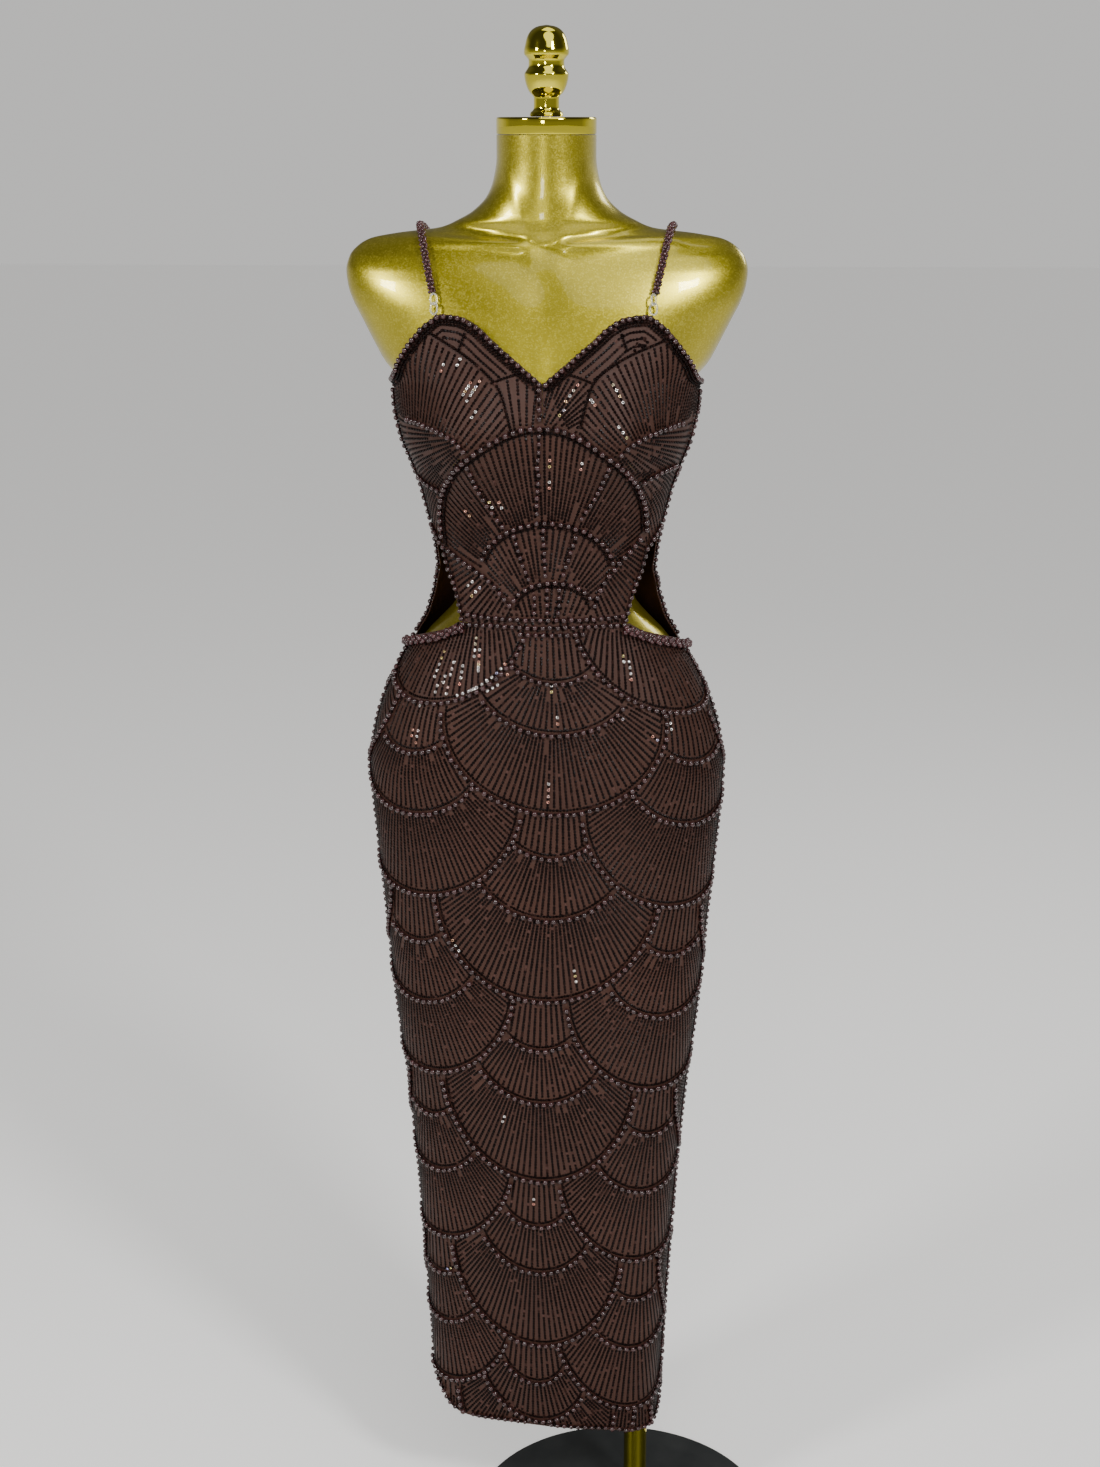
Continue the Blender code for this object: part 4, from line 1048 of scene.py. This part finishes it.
# Rows of the cups: a fan over the bust, one at the centre, two at the side, and rows along the neck.
# Each fan has its apex, its lowest and highest angle, where it starts and ends, and its spacing.
cupFans = {
    -1: {
        "fan": (-180, 1058, -36, 70, 110, 265, 7.4),
        "centre": (-17, 1130, -75, 75, 8, 130, 10.5),
        "middle": (-62, 1196, -190, -62, 6, 120, 6.6),
        "lower": (-66, 1190, -190, -70, 20, 130, 6.6),
    },
    1: {
        "fan": (140, 1120, -70, 36, 60, 185, 7.4),
        "centre": (-8, 1183, -75, 75, 8, 130, 9.5),
        "middle": (62, 1196, 62, 190, 6, 120, 6.6),
        "lower": (66, 1190, 70, 190, 20, 130, 6.6),
    },
}
archX, archZ = np.array(archLine[2:], float).T
neckInsets = np.arange(14.5, 60, 6.4)


def absLine(line):
    # a line of the left or the right cup as distances from the centre front, and heights
    x, z = np.array(line, float).T
    return np.abs(x), z


def cupZone(side, zone, across, z):
    # where a place on the cup lies inside one of its zones
    out = np.abs(across)
    upperLine, lowerLine = cupLines[side]
    arcX, arcZ = absLine(cupArcs[side])
    arch = np.interp(across, archX, archZ)
    bottom = np.where(out < 104, arch, np.interp(out, (104, 109, 122, 155), (1084, 1078, 1088, 1096)))
    shown = (z < np.interp(out, *neckLine.T) - 3) & (z > bottom + 1.5) & (out < sideAt(z) - 2.5)
    shown &= across * side > 1.5
    inFan = (out > arcX[0]) & (z < np.interp(out, arcX, arcZ))
    offArc = (np.abs(z - np.interp(out, arcX, arcZ)) > 3.2) | (out < arcX[0])
    over = np.where(out < 72, arch, np.interp(out, *absLine(upperLine)))
    under = np.where(out < abs(lowerLine[0][0]), arch, np.interp(out, *absLine(lowerLine)))
    if zone == "fan":
        return shown & (z > over) & inFan & offArc
    if zone == "centre":
        shown &= ~inFan & (out < np.interp(z, arcZ[:2], arcX[:2]) - 2.2)
        return shown & (z < np.interp(out, (24, 34, 47), (1246.5, 1243.5, 1238.5)))
    if zone == "middle":
        return shown & (z < over) & (z > under)
    if zone == "lower":
        return shown & (z < under)
    edge = np.interp(out, (24, 34, 47, 48), (1251.5, 1248.5, 1243.5, 1200))
    return shown & ~inFan & offArc & (out > 24) & (z > edge)


def neckSequins(side, inset):
    # places a sequin apart along the neckline; what is left over goes to the centre, where none show
    edge = neckEdge(inset)
    run = runAlong(edge)
    steps = np.arange(70) * sequins["pitch"]
    places = np.minimum(steps + rng.uniform(0, 2), run[-1])
    spots = np.column_stack([np.interp(places, run, edge[:, 0]), np.interp(places, run, edge[:, 1])])
    return np.where((steps < run[-1] - 3)[:, None], spots, (0, 1100)) * (side, 1)


for side, panel in cups:
    for zone in ("fan", "centre", "middle", "lower", "along"):
        if zone == "along":
            across, z = np.moveaxis(np.stack([neckSequins(side, inset) for inset in neckInsets]), 2, 0)
            keep = np.ones(across.shape, bool)
        else:
            across, z, keep = rowsFrom(*cupFans[side][zone])
        z = np.clip(z, 1080.0, 1300.0)
        keep &= cupZone(side, zone, across, z)
        addSequins(panel, dress.uAt(across, z), z, keep)

# Short rows where a tier of scales ends: under the waist and at the corners of the hem
for apex, low, high, near, far, lowU, highU, lowZ, highZ in (
    ((0, 1600), 170, 190, 588, 640, -0.80, 0.80, 968, 1008.5),
    ((-112, 300), 130, 230, 100, 215, -1.49, -0.72, 100, 200),
    ((100, 300), 130, 230, 120, 215, 0.66, 1.40, 100, 170),
):
    across, z, keep = rowsFrom(*apex, low, high, near, far, 5.2)
    z = np.clip(z, sequinLevels["foot"], sequinLevels["top"])
    u = dress.uAt(across, z)
    keep &= (u > lowU) & (u < highU) & (z > lowZ) & (z < highZ)
    keep &= (z > hemAt(u) + 2) & (z < waistAt(u) - 2)
    sewnTree = treeOf([spot[:3] for spot in sequinSpots["skirtFront"]])
    points = onCloth(u, z, sequins["lift"])
    for row, column in zip(*np.nonzero(keep)):
        keep[row, column] = sewnTree.find(points[row, column])[2] > 3.4
    addSequins("skirtFront", u, z, keep)
print("sequins:", {name: len(spots) for name, spots in sequinSpots.items()})


# Copies of one small shape, joined as one mesh; axes holds each copy's three directions and sizes
def stampPiece(name, shape, centres, axes, material, smoothed):
    selectOnly(shape)
    bpy.ops.object.mode_set(mode="EDIT")
    bpy.ops.mesh.select_all(action="SELECT")
    bpy.ops.mesh.quads_convert_to_tris()
    bpy.ops.object.mode_set(mode="OBJECT")
    corners = getPoints(shape)
    faces = np.array([tuple(face.vertices) for face in shape.data.polygons])
    bpy.data.objects.remove(shape)
    points = np.einsum("vk,nkd->nvd", corners, axes) + centres[:, None]
    count = len(centres)
    mesh = bpy.data.meshes.new(name)
    mesh.vertices.add(count * len(corners))
    mesh.vertices.foreach_set("co", (points * mm).ravel())
    mesh.loops.add(count * len(faces) * 3)
    shift = (np.arange(count) * len(corners))[:, None, None]
    mesh.loops.foreach_set("vertex_index", (faces[None] + shift).ravel())
    mesh.polygons.add(count * len(faces))
    mesh.polygons.foreach_set("loop_start", np.arange(count * len(faces)) * 3)
    mesh.update(calc_edges=True)
    mesh.polygons.foreach_set("use_smooth", np.full(count * len(faces), smoothed))
    shade = mesh.attributes.new("shade", "FLOAT", "POINT")
    shade.data.foreach_set("value", np.repeat(rng.uniform(0, 1, count), len(corners)))
    piece = bpy.data.objects.new(name, mesh)
    bpy.context.scene.collection.objects.link(piece)
    return finishPiece(piece, material)


def beadShape():
    bpy.ops.mesh.primitive_ico_sphere_add(subdivisions=2, radius=1, location=(0, 0, 0))
    return bpy.context.object


def seedShape():
    bpy.ops.mesh.primitive_ico_sphere_add(subdivisions=1, radius=1.05, location=(0, 0, 0))
    return bpy.context.object


def sequinShape():
    bpy.ops.mesh.primitive_cone_add(
        vertices=5, radius1=1, depth=0.36, end_fill_type="NGON", location=(0, 0, 0)
    )
    return bpy.context.object


def anyFrame(normals, size, flat):
    # three axes for round things, turned at random about their normals
    normals = unit(normals)
    side = unit(np.cross(normals, rng.normal(0, 1, normals.shape)))
    other = np.cross(normals, side)
    return np.stack([side * size, other * size, normals * size * flat], axis=1)


def stampRound(name, shape, spots, flat, material):
    # spots are places, sizes and normals, one row for each bead
    axes = anyFrame(spots[:, 4:7], spots[:, 3:4], flat)
    return stampPiece(name, shape, spots[:, :3], axes, material, True)


def stampSequins(name, spots):
    normals = dress.out(spots[:, 6], spots[:, 7])
    along = unit(spots[:, 3:6])
    lean = rng.normal(0.10, 0.04, (len(spots), 1))
    roll = rng.normal(0, 0.05, (len(spots), 1))
    up = unit(normals - lean * along + roll * np.cross(normals, along))
    along = unit(along - np.sum(along * up, axis=1, keepdims=True) * up)
    size = sequins["radius"] * rng.uniform(0.92, 1.08, (len(spots), 1))
    axes = np.stack([along * size * 1.04, np.cross(up, along) * size * 0.88, up * size], axis=1)
    return stampPiece(name, sequinShape(), spots[:, :3], axes, sequin, False)


print("beads and sequins")
onPanels = {}
for panel in panels:
    onPanels[panel] = [
        stampRound(panel + "Beads", beadShape(), np.concatenate(beadSpots[panel]), 0.92, pearl),
        stampRound(panel + "Seeds", seedShape(), np.concatenate(seedSpots[panel]), 0.9, sequin),
        stampSequins(panel + "Sequins", np.array(sequinSpots[panel])),
    ]

# Bright rings stand as painted glints in patches where sequins catch the light, given as x, z, how far they
# spread and how many
glintPatches = {
    "cupLeft": ((-72, 1222, 17, 16), (-90, 1262, 14, 6)),
    "midriff": ((-58, 1120, 22, 10), (-10, 1168, 30, 8), (32, 1176, 14, 5), (-68, 1036, 14, 8)),
    "cupRight": ((34, 1222, 22, 16), (78, 1224, 10, 3)),
    "skirtFront": (
        ((-72, 972, 30, 34), (-92, 948, 18, 10), (-34, 962, 26, 10), (72, 972, 18, 8), (120, 905, 20, 6))
        + ((-130, 905, 14, 6), (0, 870, 60, 6), (-40, 640, 120, 8), (20, 420, 110, 6), (-60, 250, 70, 4))
    ),
}
glintRing = {"thickness": 0.42, "size": 1.15, "flat": 0.6, "lift": 0.5, "tilt": 0.08}
for panel, patches in glintPatches.items():
    spots = np.array(sequinSpots[panel])
    across = spots[:, 6] * np.interp(spots[:, 7], dress.levels, dress.girth) / 6
    chosen = []
    for x, z, spread, count in patches:
        near = np.flatnonzero(np.hypot(across - x, spots[:, 7] - z) < spread)
        starts = rng.choice(near, size=min(len(near), max(1, count // 3)), replace=False)
        runs = rng.integers(2, 5, len(starts))
        chosen += [start + 2 * step for start, run in zip(starts, runs) for step in range(run)]
    chosen = np.unique(np.minimum(chosen, len(spots) - 1))
    bpy.ops.mesh.primitive_torus_add(
        major_segments=8,
        minor_segments=4,
        major_radius=1,
        minor_radius=glintRing["thickness"],
        location=(0, 0, 0),
    )
    normals = dress.out(spots[chosen, 6], spots[chosen, 7])
    tilted = normals + rng.normal(0, glintRing["tilt"], normals.shape)
    axes = anyFrame(tilted, np.full((len(chosen), 1), glintRing["size"]), glintRing["flat"])
    centres = spots[chosen, :3] + normals * glintRing["lift"]
    rings = stampPiece(panel + "Glints", bpy.context.object, centres, axes, glint, True)
    onPanels[panel].append(rings)

# Tubes: a grid rolled up along a path and sewn shut
def rolledGrid(name, around, along, place):
    bpy.ops.mesh.primitive_grid_add(x_subdivisions=around, y_subdivisions=along, size=2, location=(0, 0, 0))
    piece = named(name)
    flat = getPoints(piece)
    setPoints(piece, place((flat[:, 0] + 1) / 2, (flat[:, 1] + 1) / 2))
    bpy.ops.object.mode_set(mode="EDIT")
    bpy.ops.mesh.select_all(action="SELECT")
    bpy.ops.mesh.remove_doubles(threshold=0.000002)
    bpy.ops.mesh.select_all(action="DESELECT")
    bpy.ops.mesh.select_non_manifold()
    bpy.ops.mesh.fill_holes(sides=0)
    turnOutward()
    shadeSmooth(piece, 40)
    return piece


print("dress form")
formSteps = ((620, 1000, 12), (1000, 1330, 6), (1330, 1392, 1), (1392, 1459, 4))
formLevels = np.concatenate([*(np.arange(*steps) for steps in formSteps), [1460.7]])
form = Surface(formLevels.astype(float), 0.0, 240)
# Low forms of the chest and neck: how far each stands out or lies in, then the heights of the first
# two, and the places between which the rest show, each with how far it fades
relief = {"clavicle": 2.4, "hollow": 2.2, "notch": 2.2, "tendon": 0.6, "breastbone": 1.3}
reliefAt = {"clavicle": 1362, "notch": 1363, "across": (10, 16, 150, 40), "hollow": (120, 50), "front": 30}
reliefAt.update(neck=(1366, 12, 1446, 30), chest=(1225, 30, 1350, 30))


def fadeBetween(value, low, lowReach, high, highReach):
    return smooth((value - low) / lowReach) * smooth((high - value) / highReach)


def formPlace(s, t):
    level = np.round(t * (len(form.levels) - 1)).astype(int)
    column = np.round(s * form.columns).astype(int) % form.columns
    points = form.points[level, column].copy()
    x, y, z = points.T
    ahead = np.clip(-y / reliefAt["front"], 0, 1)
    across = np.abs(x)
    ridge = reliefAt["clavicle"] + (across - 20) * 0.05
    fade = fadeBetween(across, *reliefAt["across"])
    end, reach = reliefAt["hollow"]
    push = relief["clavicle"] * hump(z - ridge, 5.5) * fade
    push -= relief["hollow"] * hump(z - ridge - 9, 6) * fade * smooth((end - across) / reach)
    push -= relief["hollow"] * 0.3 * hump(z - ridge + 13, 11) * fade
    push -= relief["notch"] * hump(x, 10) * hump(z - reliefAt["notch"], 8)
    tendon = 12 + (z - 1365) / 75 * 28
    push += relief["tendon"] * hump(across - tendon, 5) * fadeBetween(z, *reliefAt["neck"])
    push -= relief["breastbone"] * hump(x, 17) * fadeBetween(z, *reliefAt["chest"])
    return points + (push * ahead)[:, None] * form.normals[level, column]


body = rolledGrid("dressFormShell", form.columns, len(form.levels) - 1, formPlace)
finishPiece(body, goldPaint, ("dress_form",))


# Turned parts: a circle drawn up through a profile of radius and height
def turned(name, profile, centre, sides, slot, material, node, degrees=35):
    (radius, height), *rest = profile
    x, y = centre[0] * mm, centre[1] * mm
    bpy.ops.mesh.primitive_circle_add(
        vertices=sides, radius=radius * mm, fill_type="NGON", location=(x, y, height * mm)
    )
    piece = named(name)
    bpy.ops.object.transform_apply(location=True, rotation=True, scale=True)
    bpy.ops.object.mode_set(mode="EDIT")
    bpy.ops.mesh.select_all(action="SELECT")
    for nextRadius, nextHeight in rest:
        bpy.ops.mesh.extrude_region_move(TRANSFORM_OT_translate={"value": (0, 0, (nextHeight - height) * mm)})
        ratio = nextRadius / radius
        bpy.ops.transform.resize(value=(ratio, ratio, 1), center_override=(x, y, nextHeight * mm))
        radius, height = nextRadius, nextHeight
    turnOutward()
    shadeSmooth(piece, degrees)
    return finishPiece(piece, material, (node,))


def rounded(profile, steps=3):
    # the same turned profile with its curves drawn finer
    knots = np.array(profile, float)
    run = runAlong(knots)
    places = [np.linspace(low, high, steps + 1)[:-1] for low, high in zip(run[:-1], run[1:])]
    return [tuple(row) for row in through(run, knots, np.concatenate([*places, run[-1:]]))]


print("stand")
stand = {"pole": (98, 0), "base": (83, -40), "poleSides": 40, "baseSides": 96, "capSides": 72}
finialLip = [(14.4, 1476.8), (15.2, 1477.3), (15.6, 1478.4), (15.2, 1480.0), (14.2, 1481.2)]
finialCurve = [(13.2, 1481.8), (11.9, 1484.2), (11.8, 1489), (11.8, 1493.6), (12.6, 1495.2), (15.6, 1498.2)]
finialCurve += [(18.6, 1504.2), (20.4, 1511.6), (20.6, 1514.2), (18.6, 1517.8), (16.6, 1521.6)]
finialCurve += [(16.5, 1526.4), (18.6, 1529.4), (20.6, 1531.8), (20.9, 1534), (19.8, 1540), (18.0, 1546.8)]
finialCurve += [(14.1, 1552.8), (8.0, 1556.3), (0.6, 1557.6)]
capProfile = [(45.4, 1461), (46.3, 1461.4), (46.7, 1462.4), (46.7, 1474.4), (46.5, 1475.4), (45.9, 1476.2)]
capProfile += [(44.9, 1476.5), (30, 1476.5), (24, 1476.5)]
poleProfile = [(12.0, 8.3), (12.5, 8.9), (12.5, 300), (12.5, 310), (12.5, 619.1), (12.0, 619.7)]
baseProfile = [(158.6, 0.05), (159.6, 0.5), (160, 1.5), (160, 6.4), (159.6, 7.4), (158.6, 7.95), (120, 8)]
baseProfile += [(60, 8), (20, 8)]
finialProfile = finialLip + rounded(finialCurve)
gold = ("polished_gold", polishedGold)
turned("finialTurning", finialProfile, (0, 0), stand["poleSides"], *gold, "finial", 28)
turned("neckCapDisc", capProfile, (0, 0), stand["capSides"], *gold, "neck_cap", 28)
turned("poleTube", poleProfile, stand["pole"], stand["poleSides"], *gold, "pole")
turned("basePlate", baseProfile, stand["base"], stand["baseSides"], "black_base", blackPlate, "base", 28)

# Straps: a dark cord wound with beads, over the shoulder. Bearings are degrees round a place inside it.
strap = {"radius": 4.0, "gap": 0.6, "cord": 1.7, "pivotY": 4.0, "pivotZ": 1300.0, "frontX": 102, "topX": 119}
strap.update(backX=90, top=88, search=(5.0, 160.0), steps=24, slopeBearing=3, slopeX=4)
strapBeads = {"ring": 2.4, "count": 4, "radius": 1.75, "pitch": 3.6, "twist": 0.63, "inset": 1.6}
strapBearings = (18, 30, 42, 52, 60, 66, 71, 76, 81, 86, 91, 96, 101, 106, 112, 119, 127, 136, 146, 158, 172)
strapBearings += (187, 203, 216, 228.4)
bodyGrid = form.points[:, ::2]
neckTop = float(form.levels[-1])


def onBody(x, bearing):
    # where a ray from inside the shoulder leaves the body
    angle = math.radians(bearing)
    near, far = strap["search"]
    for attempt in range(strap["steps"]):
        middle = (near + far) / 2
        y = strap["pivotY"] - middle * math.cos(angle)
        z = strap["pivotZ"] + middle * math.sin(angle)
        row = np.interp(z, form.levels, np.arange(len(form.levels)))
        low = int(min(row, len(form.levels) - 2))
        section = bodyGrid[low] * (1 - row + low) + bodyGrid[low + 1] * (row - low)
        facing = np.arctan2(section[:, 0], -section[:, 1])
        order = np.argsort(facing)
        reach = np.interp(math.atan2(x, -y), facing[order], np.hypot(section[:, 0], section[:, 1])[order])
        if math.hypot(x, y) < reach and z < neckTop:
            near = middle
        else:
            far = middle
    return np.array((x, strap["pivotY"] - near * math.cos(angle), strap["pivotZ"] + near * math.sin(angle)))


def strapPath(side):
    centres, normals = [], []
    turns = (strapBearings[0], strap["top"], strapBearings[-1])
    for bearing in strapBearings:
        x = float(np.interp(bearing, turns, (strap["frontX"], strap["topX"], strap["backX"])))
        along = onBody(x, bearing + strap["slopeBearing"]) - onBody(x, bearing - strap["slopeBearing"])
        across = onBody(x + strap["slopeX"], bearing) - onBody(x - strap["slopeX"], bearing)
        normal = unit(np.cross(across, along))
        centres.append((onBody(x, bearing) + (strap["radius"] + strap["gap"]) * normal) * (side, 1, 1))
        normals.append(normal * (side, 1, 1))
    return np.array(centres), np.array(normals)


def alongPath(centres, normals, places):
    run = runAlong(centres)
    spots = through(run, centres, places)
    after = through(run, centres, np.clip(places + 0.5, 0, run[-1]))
    forward = unit(after - through(run, centres, np.clip(places - 0.5, 0, run[-1])))
    up = through(run, normals, places)
    up = unit(up - np.sum(up * forward, axis=1, keepdims=True) * forward)
    return spots, up, np.cross(forward, up)


def cordPiece(name, centres, normals, radius, rings, node, sides=8, end=1.2):
    total = runAlong(centres)[-1]

    def place(s, t):
        spots, up, across = alongPath(centres, normals, end + t * (total - 2 * end))
        angle = (s * 2 * math.pi)[:, None]
        return spots + radius * (np.cos(angle) * up + np.sin(angle) * across)

    return finishPiece(rolledGrid(name, sides, rings, place), thread, (node,))


def beadRope(name, centres, normals, rope):
    # rings of beads wound round a cord, each ring turned a little from the last
    total = runAlong(centres)[-1]
    length = total - 2 * rope["inset"]
    rows = int(length / rope["pitch"])
    row = np.repeat(np.arange(rows + 1), rope["count"])
    turn = np.tile(np.arange(rope["count"]), rows + 1) * 2 * math.pi / rope["count"] + row * rope["twist"]
    places = rope["inset"] + row * length / rows + rng.normal(0, 0.10, len(row))
    spots, up, across = alongPath(centres, normals, np.clip(places, 0, total))
    out = np.cos(turn)[:, None] * up + np.sin(turn)[:, None] * across
    size = rope["radius"] * rng.uniform(1 - bead["spread"], 1 + bead["spread"], (len(row), 1))
    axes = anyFrame(out, size, 1.0)
    return stampPiece(name, beadShape(), spots + out * rope["ring"], axes, smallPearl, True)


# Rolled bands under the cut-outs, and the clear loops that join the straps to the cups
band = {"radius": 4.6, "gap": 0.6, "cord": 2.2, "samples": 26, "sixth": 150}
bandBeads = {"ring": 2.5, "count": 3, "radius": 2.45, "pitch": 4.9, "twist": 1.05, "inset": 2.2}
bandLine = ((0.76, 1004.5), (0.86, 1000), (0.97, 992.5), (1.2, 983.5), (1.4, 976), (1.5, 973), (1.58, 972))
loop = {"x": 101, "radius": 3.3, "wire": 0.95, "lift": 2.6, "straightFrom": 1.2}
links = (("clearLoop", 1306.6, 1.6, 0.15), ("clearLink", 1314.6, 1.4, -0.75))


def bandPath(side):
    line = np.array(bandLine)
    run = runAlong(line * (band["sixth"], 1))
    dense = through(run, line, np.linspace(0, run[-1], band["samples"]))
    u, z = side * dense[:, 0], dense[:, 1]
    return dress.at(u, z, clothWall + band["gap"] + band["radius"]), dress.out(u, z)


def clearRing(name, side, middleZ, straight, lean):
    # a torus drawn out to an oval and turned on its upright axis
    bpy.ops.mesh.primitive_torus_add(
        major_segments=28,
        minor_segments=10,
        major_radius=loop["radius"],
        minor_radius=loop["wire"],
        location=(0, 0, 0),
    )
    piece = named(name)
    x, y, z = getPoints(piece).T
    height = middleZ + y + straight * np.clip(y / loop["straightFrom"], -1, 1)
    across = side * loop["x"] + x * math.cos(lean) - z * math.sin(lean)
    out = loop["lift"] + abs(lean) + x * math.sin(lean) + z * math.cos(lean)
    setPoints(piece, dress.at(dress.uAt(across, height), height, out))
    shadeSmooth(piece)
    turnOutward()
    return piece


print("straps, bands and loops")
for side, word in ((-1, "Left"), (1, "Right")):
    node = word.lower()
    path = strapPath(side)
    cordPiece("strapCord" + word, *path, strap["cord"], 120, "strap_" + node)
    beadRope("strapBeads" + word, *path, strapBeads)
    path = bandPath(side)
    cordPiece("bandCord" + word, *path, band["cord"], 40, "band_" + node)
    beadRope("bandBeads" + word, *path, bandBeads)
    for name, middleZ, straight, lean in links:
        piece = clearRing(name + word, side, middleZ, straight, lean)
        finishPiece(piece, clearPlastic, ("loop_" + node,) if name == "clearLoop" else ())

# Floor and studio light
bpy.ops.mesh.primitive_plane_add(size=40, location=(0, 0, -0.0002))
floor = named("studioFloor")
paleFloor = Finish(
    "paleFloor", (0.80, 0.79, 0.77), roughness=0.8, emissionColor=(0.9, 0.89, 0.87), emissionStrength=0.38
)
floor.data.materials.append(paleFloor.material)

# bright low down behind the dress, and dark overhead and in front, as a studio wall would be
world = bpy.data.worlds.new("studioGrey")
world.use_nodes = True
sky = Nodes(world.node_tree)
skyY, skyZ = sky.split(sky.add("ShaderNodeTexCoord", out="Generated"))[1:]
upward = sky.ramp(skyZ, (0.06, (0.642, 0.635, 0.622)), (0.32, (0.12, 0.12, 0.12)))
behind = sky.ramp(skyY, (0.0, (0.42, 0.42, 0.42)), (0.5, (1.0, 1.0, 1.0)))
sky.feed(sky.tree.nodes["Background"].inputs["Color"], sky.mixColour(1.0, upward, behind, "MULTIPLY"))
bpy.context.scene.world = world

bpy.ops.object.light_add(type="SUN", rotation=(math.radians(38), math.radians(16), 0))
sun = named("skylight")
sun.data.energy = 1.0
sun.data.angle = math.radians(50)

studioLights = (
    ("keyLight", (1.7, -2.3, 2.7), 0.5, 84),
    ("fillLight", (-2.2, -1.9, 2.3), 0.5, 64),
    ("overheadLight", (0.2, 0.3, 3.4), 1.2, 8),
    ("rimLight", (1.8, 2.0, 2.3), 0.8, 16),
    ("frontLight", (-0.35, -3.2, 1.75), 0.35, 10),
)
for name, place, size, watts in studioLights:
    toward = Vector((0, 0, 0.9)) - Vector(place)
    bpy.ops.object.light_add(type="AREA", location=place, rotation=toward.to_track_quat("-Z", "Y").to_euler())
    light = named(name)
    light.data.size = size
    light.data.energy = watts

print("done")
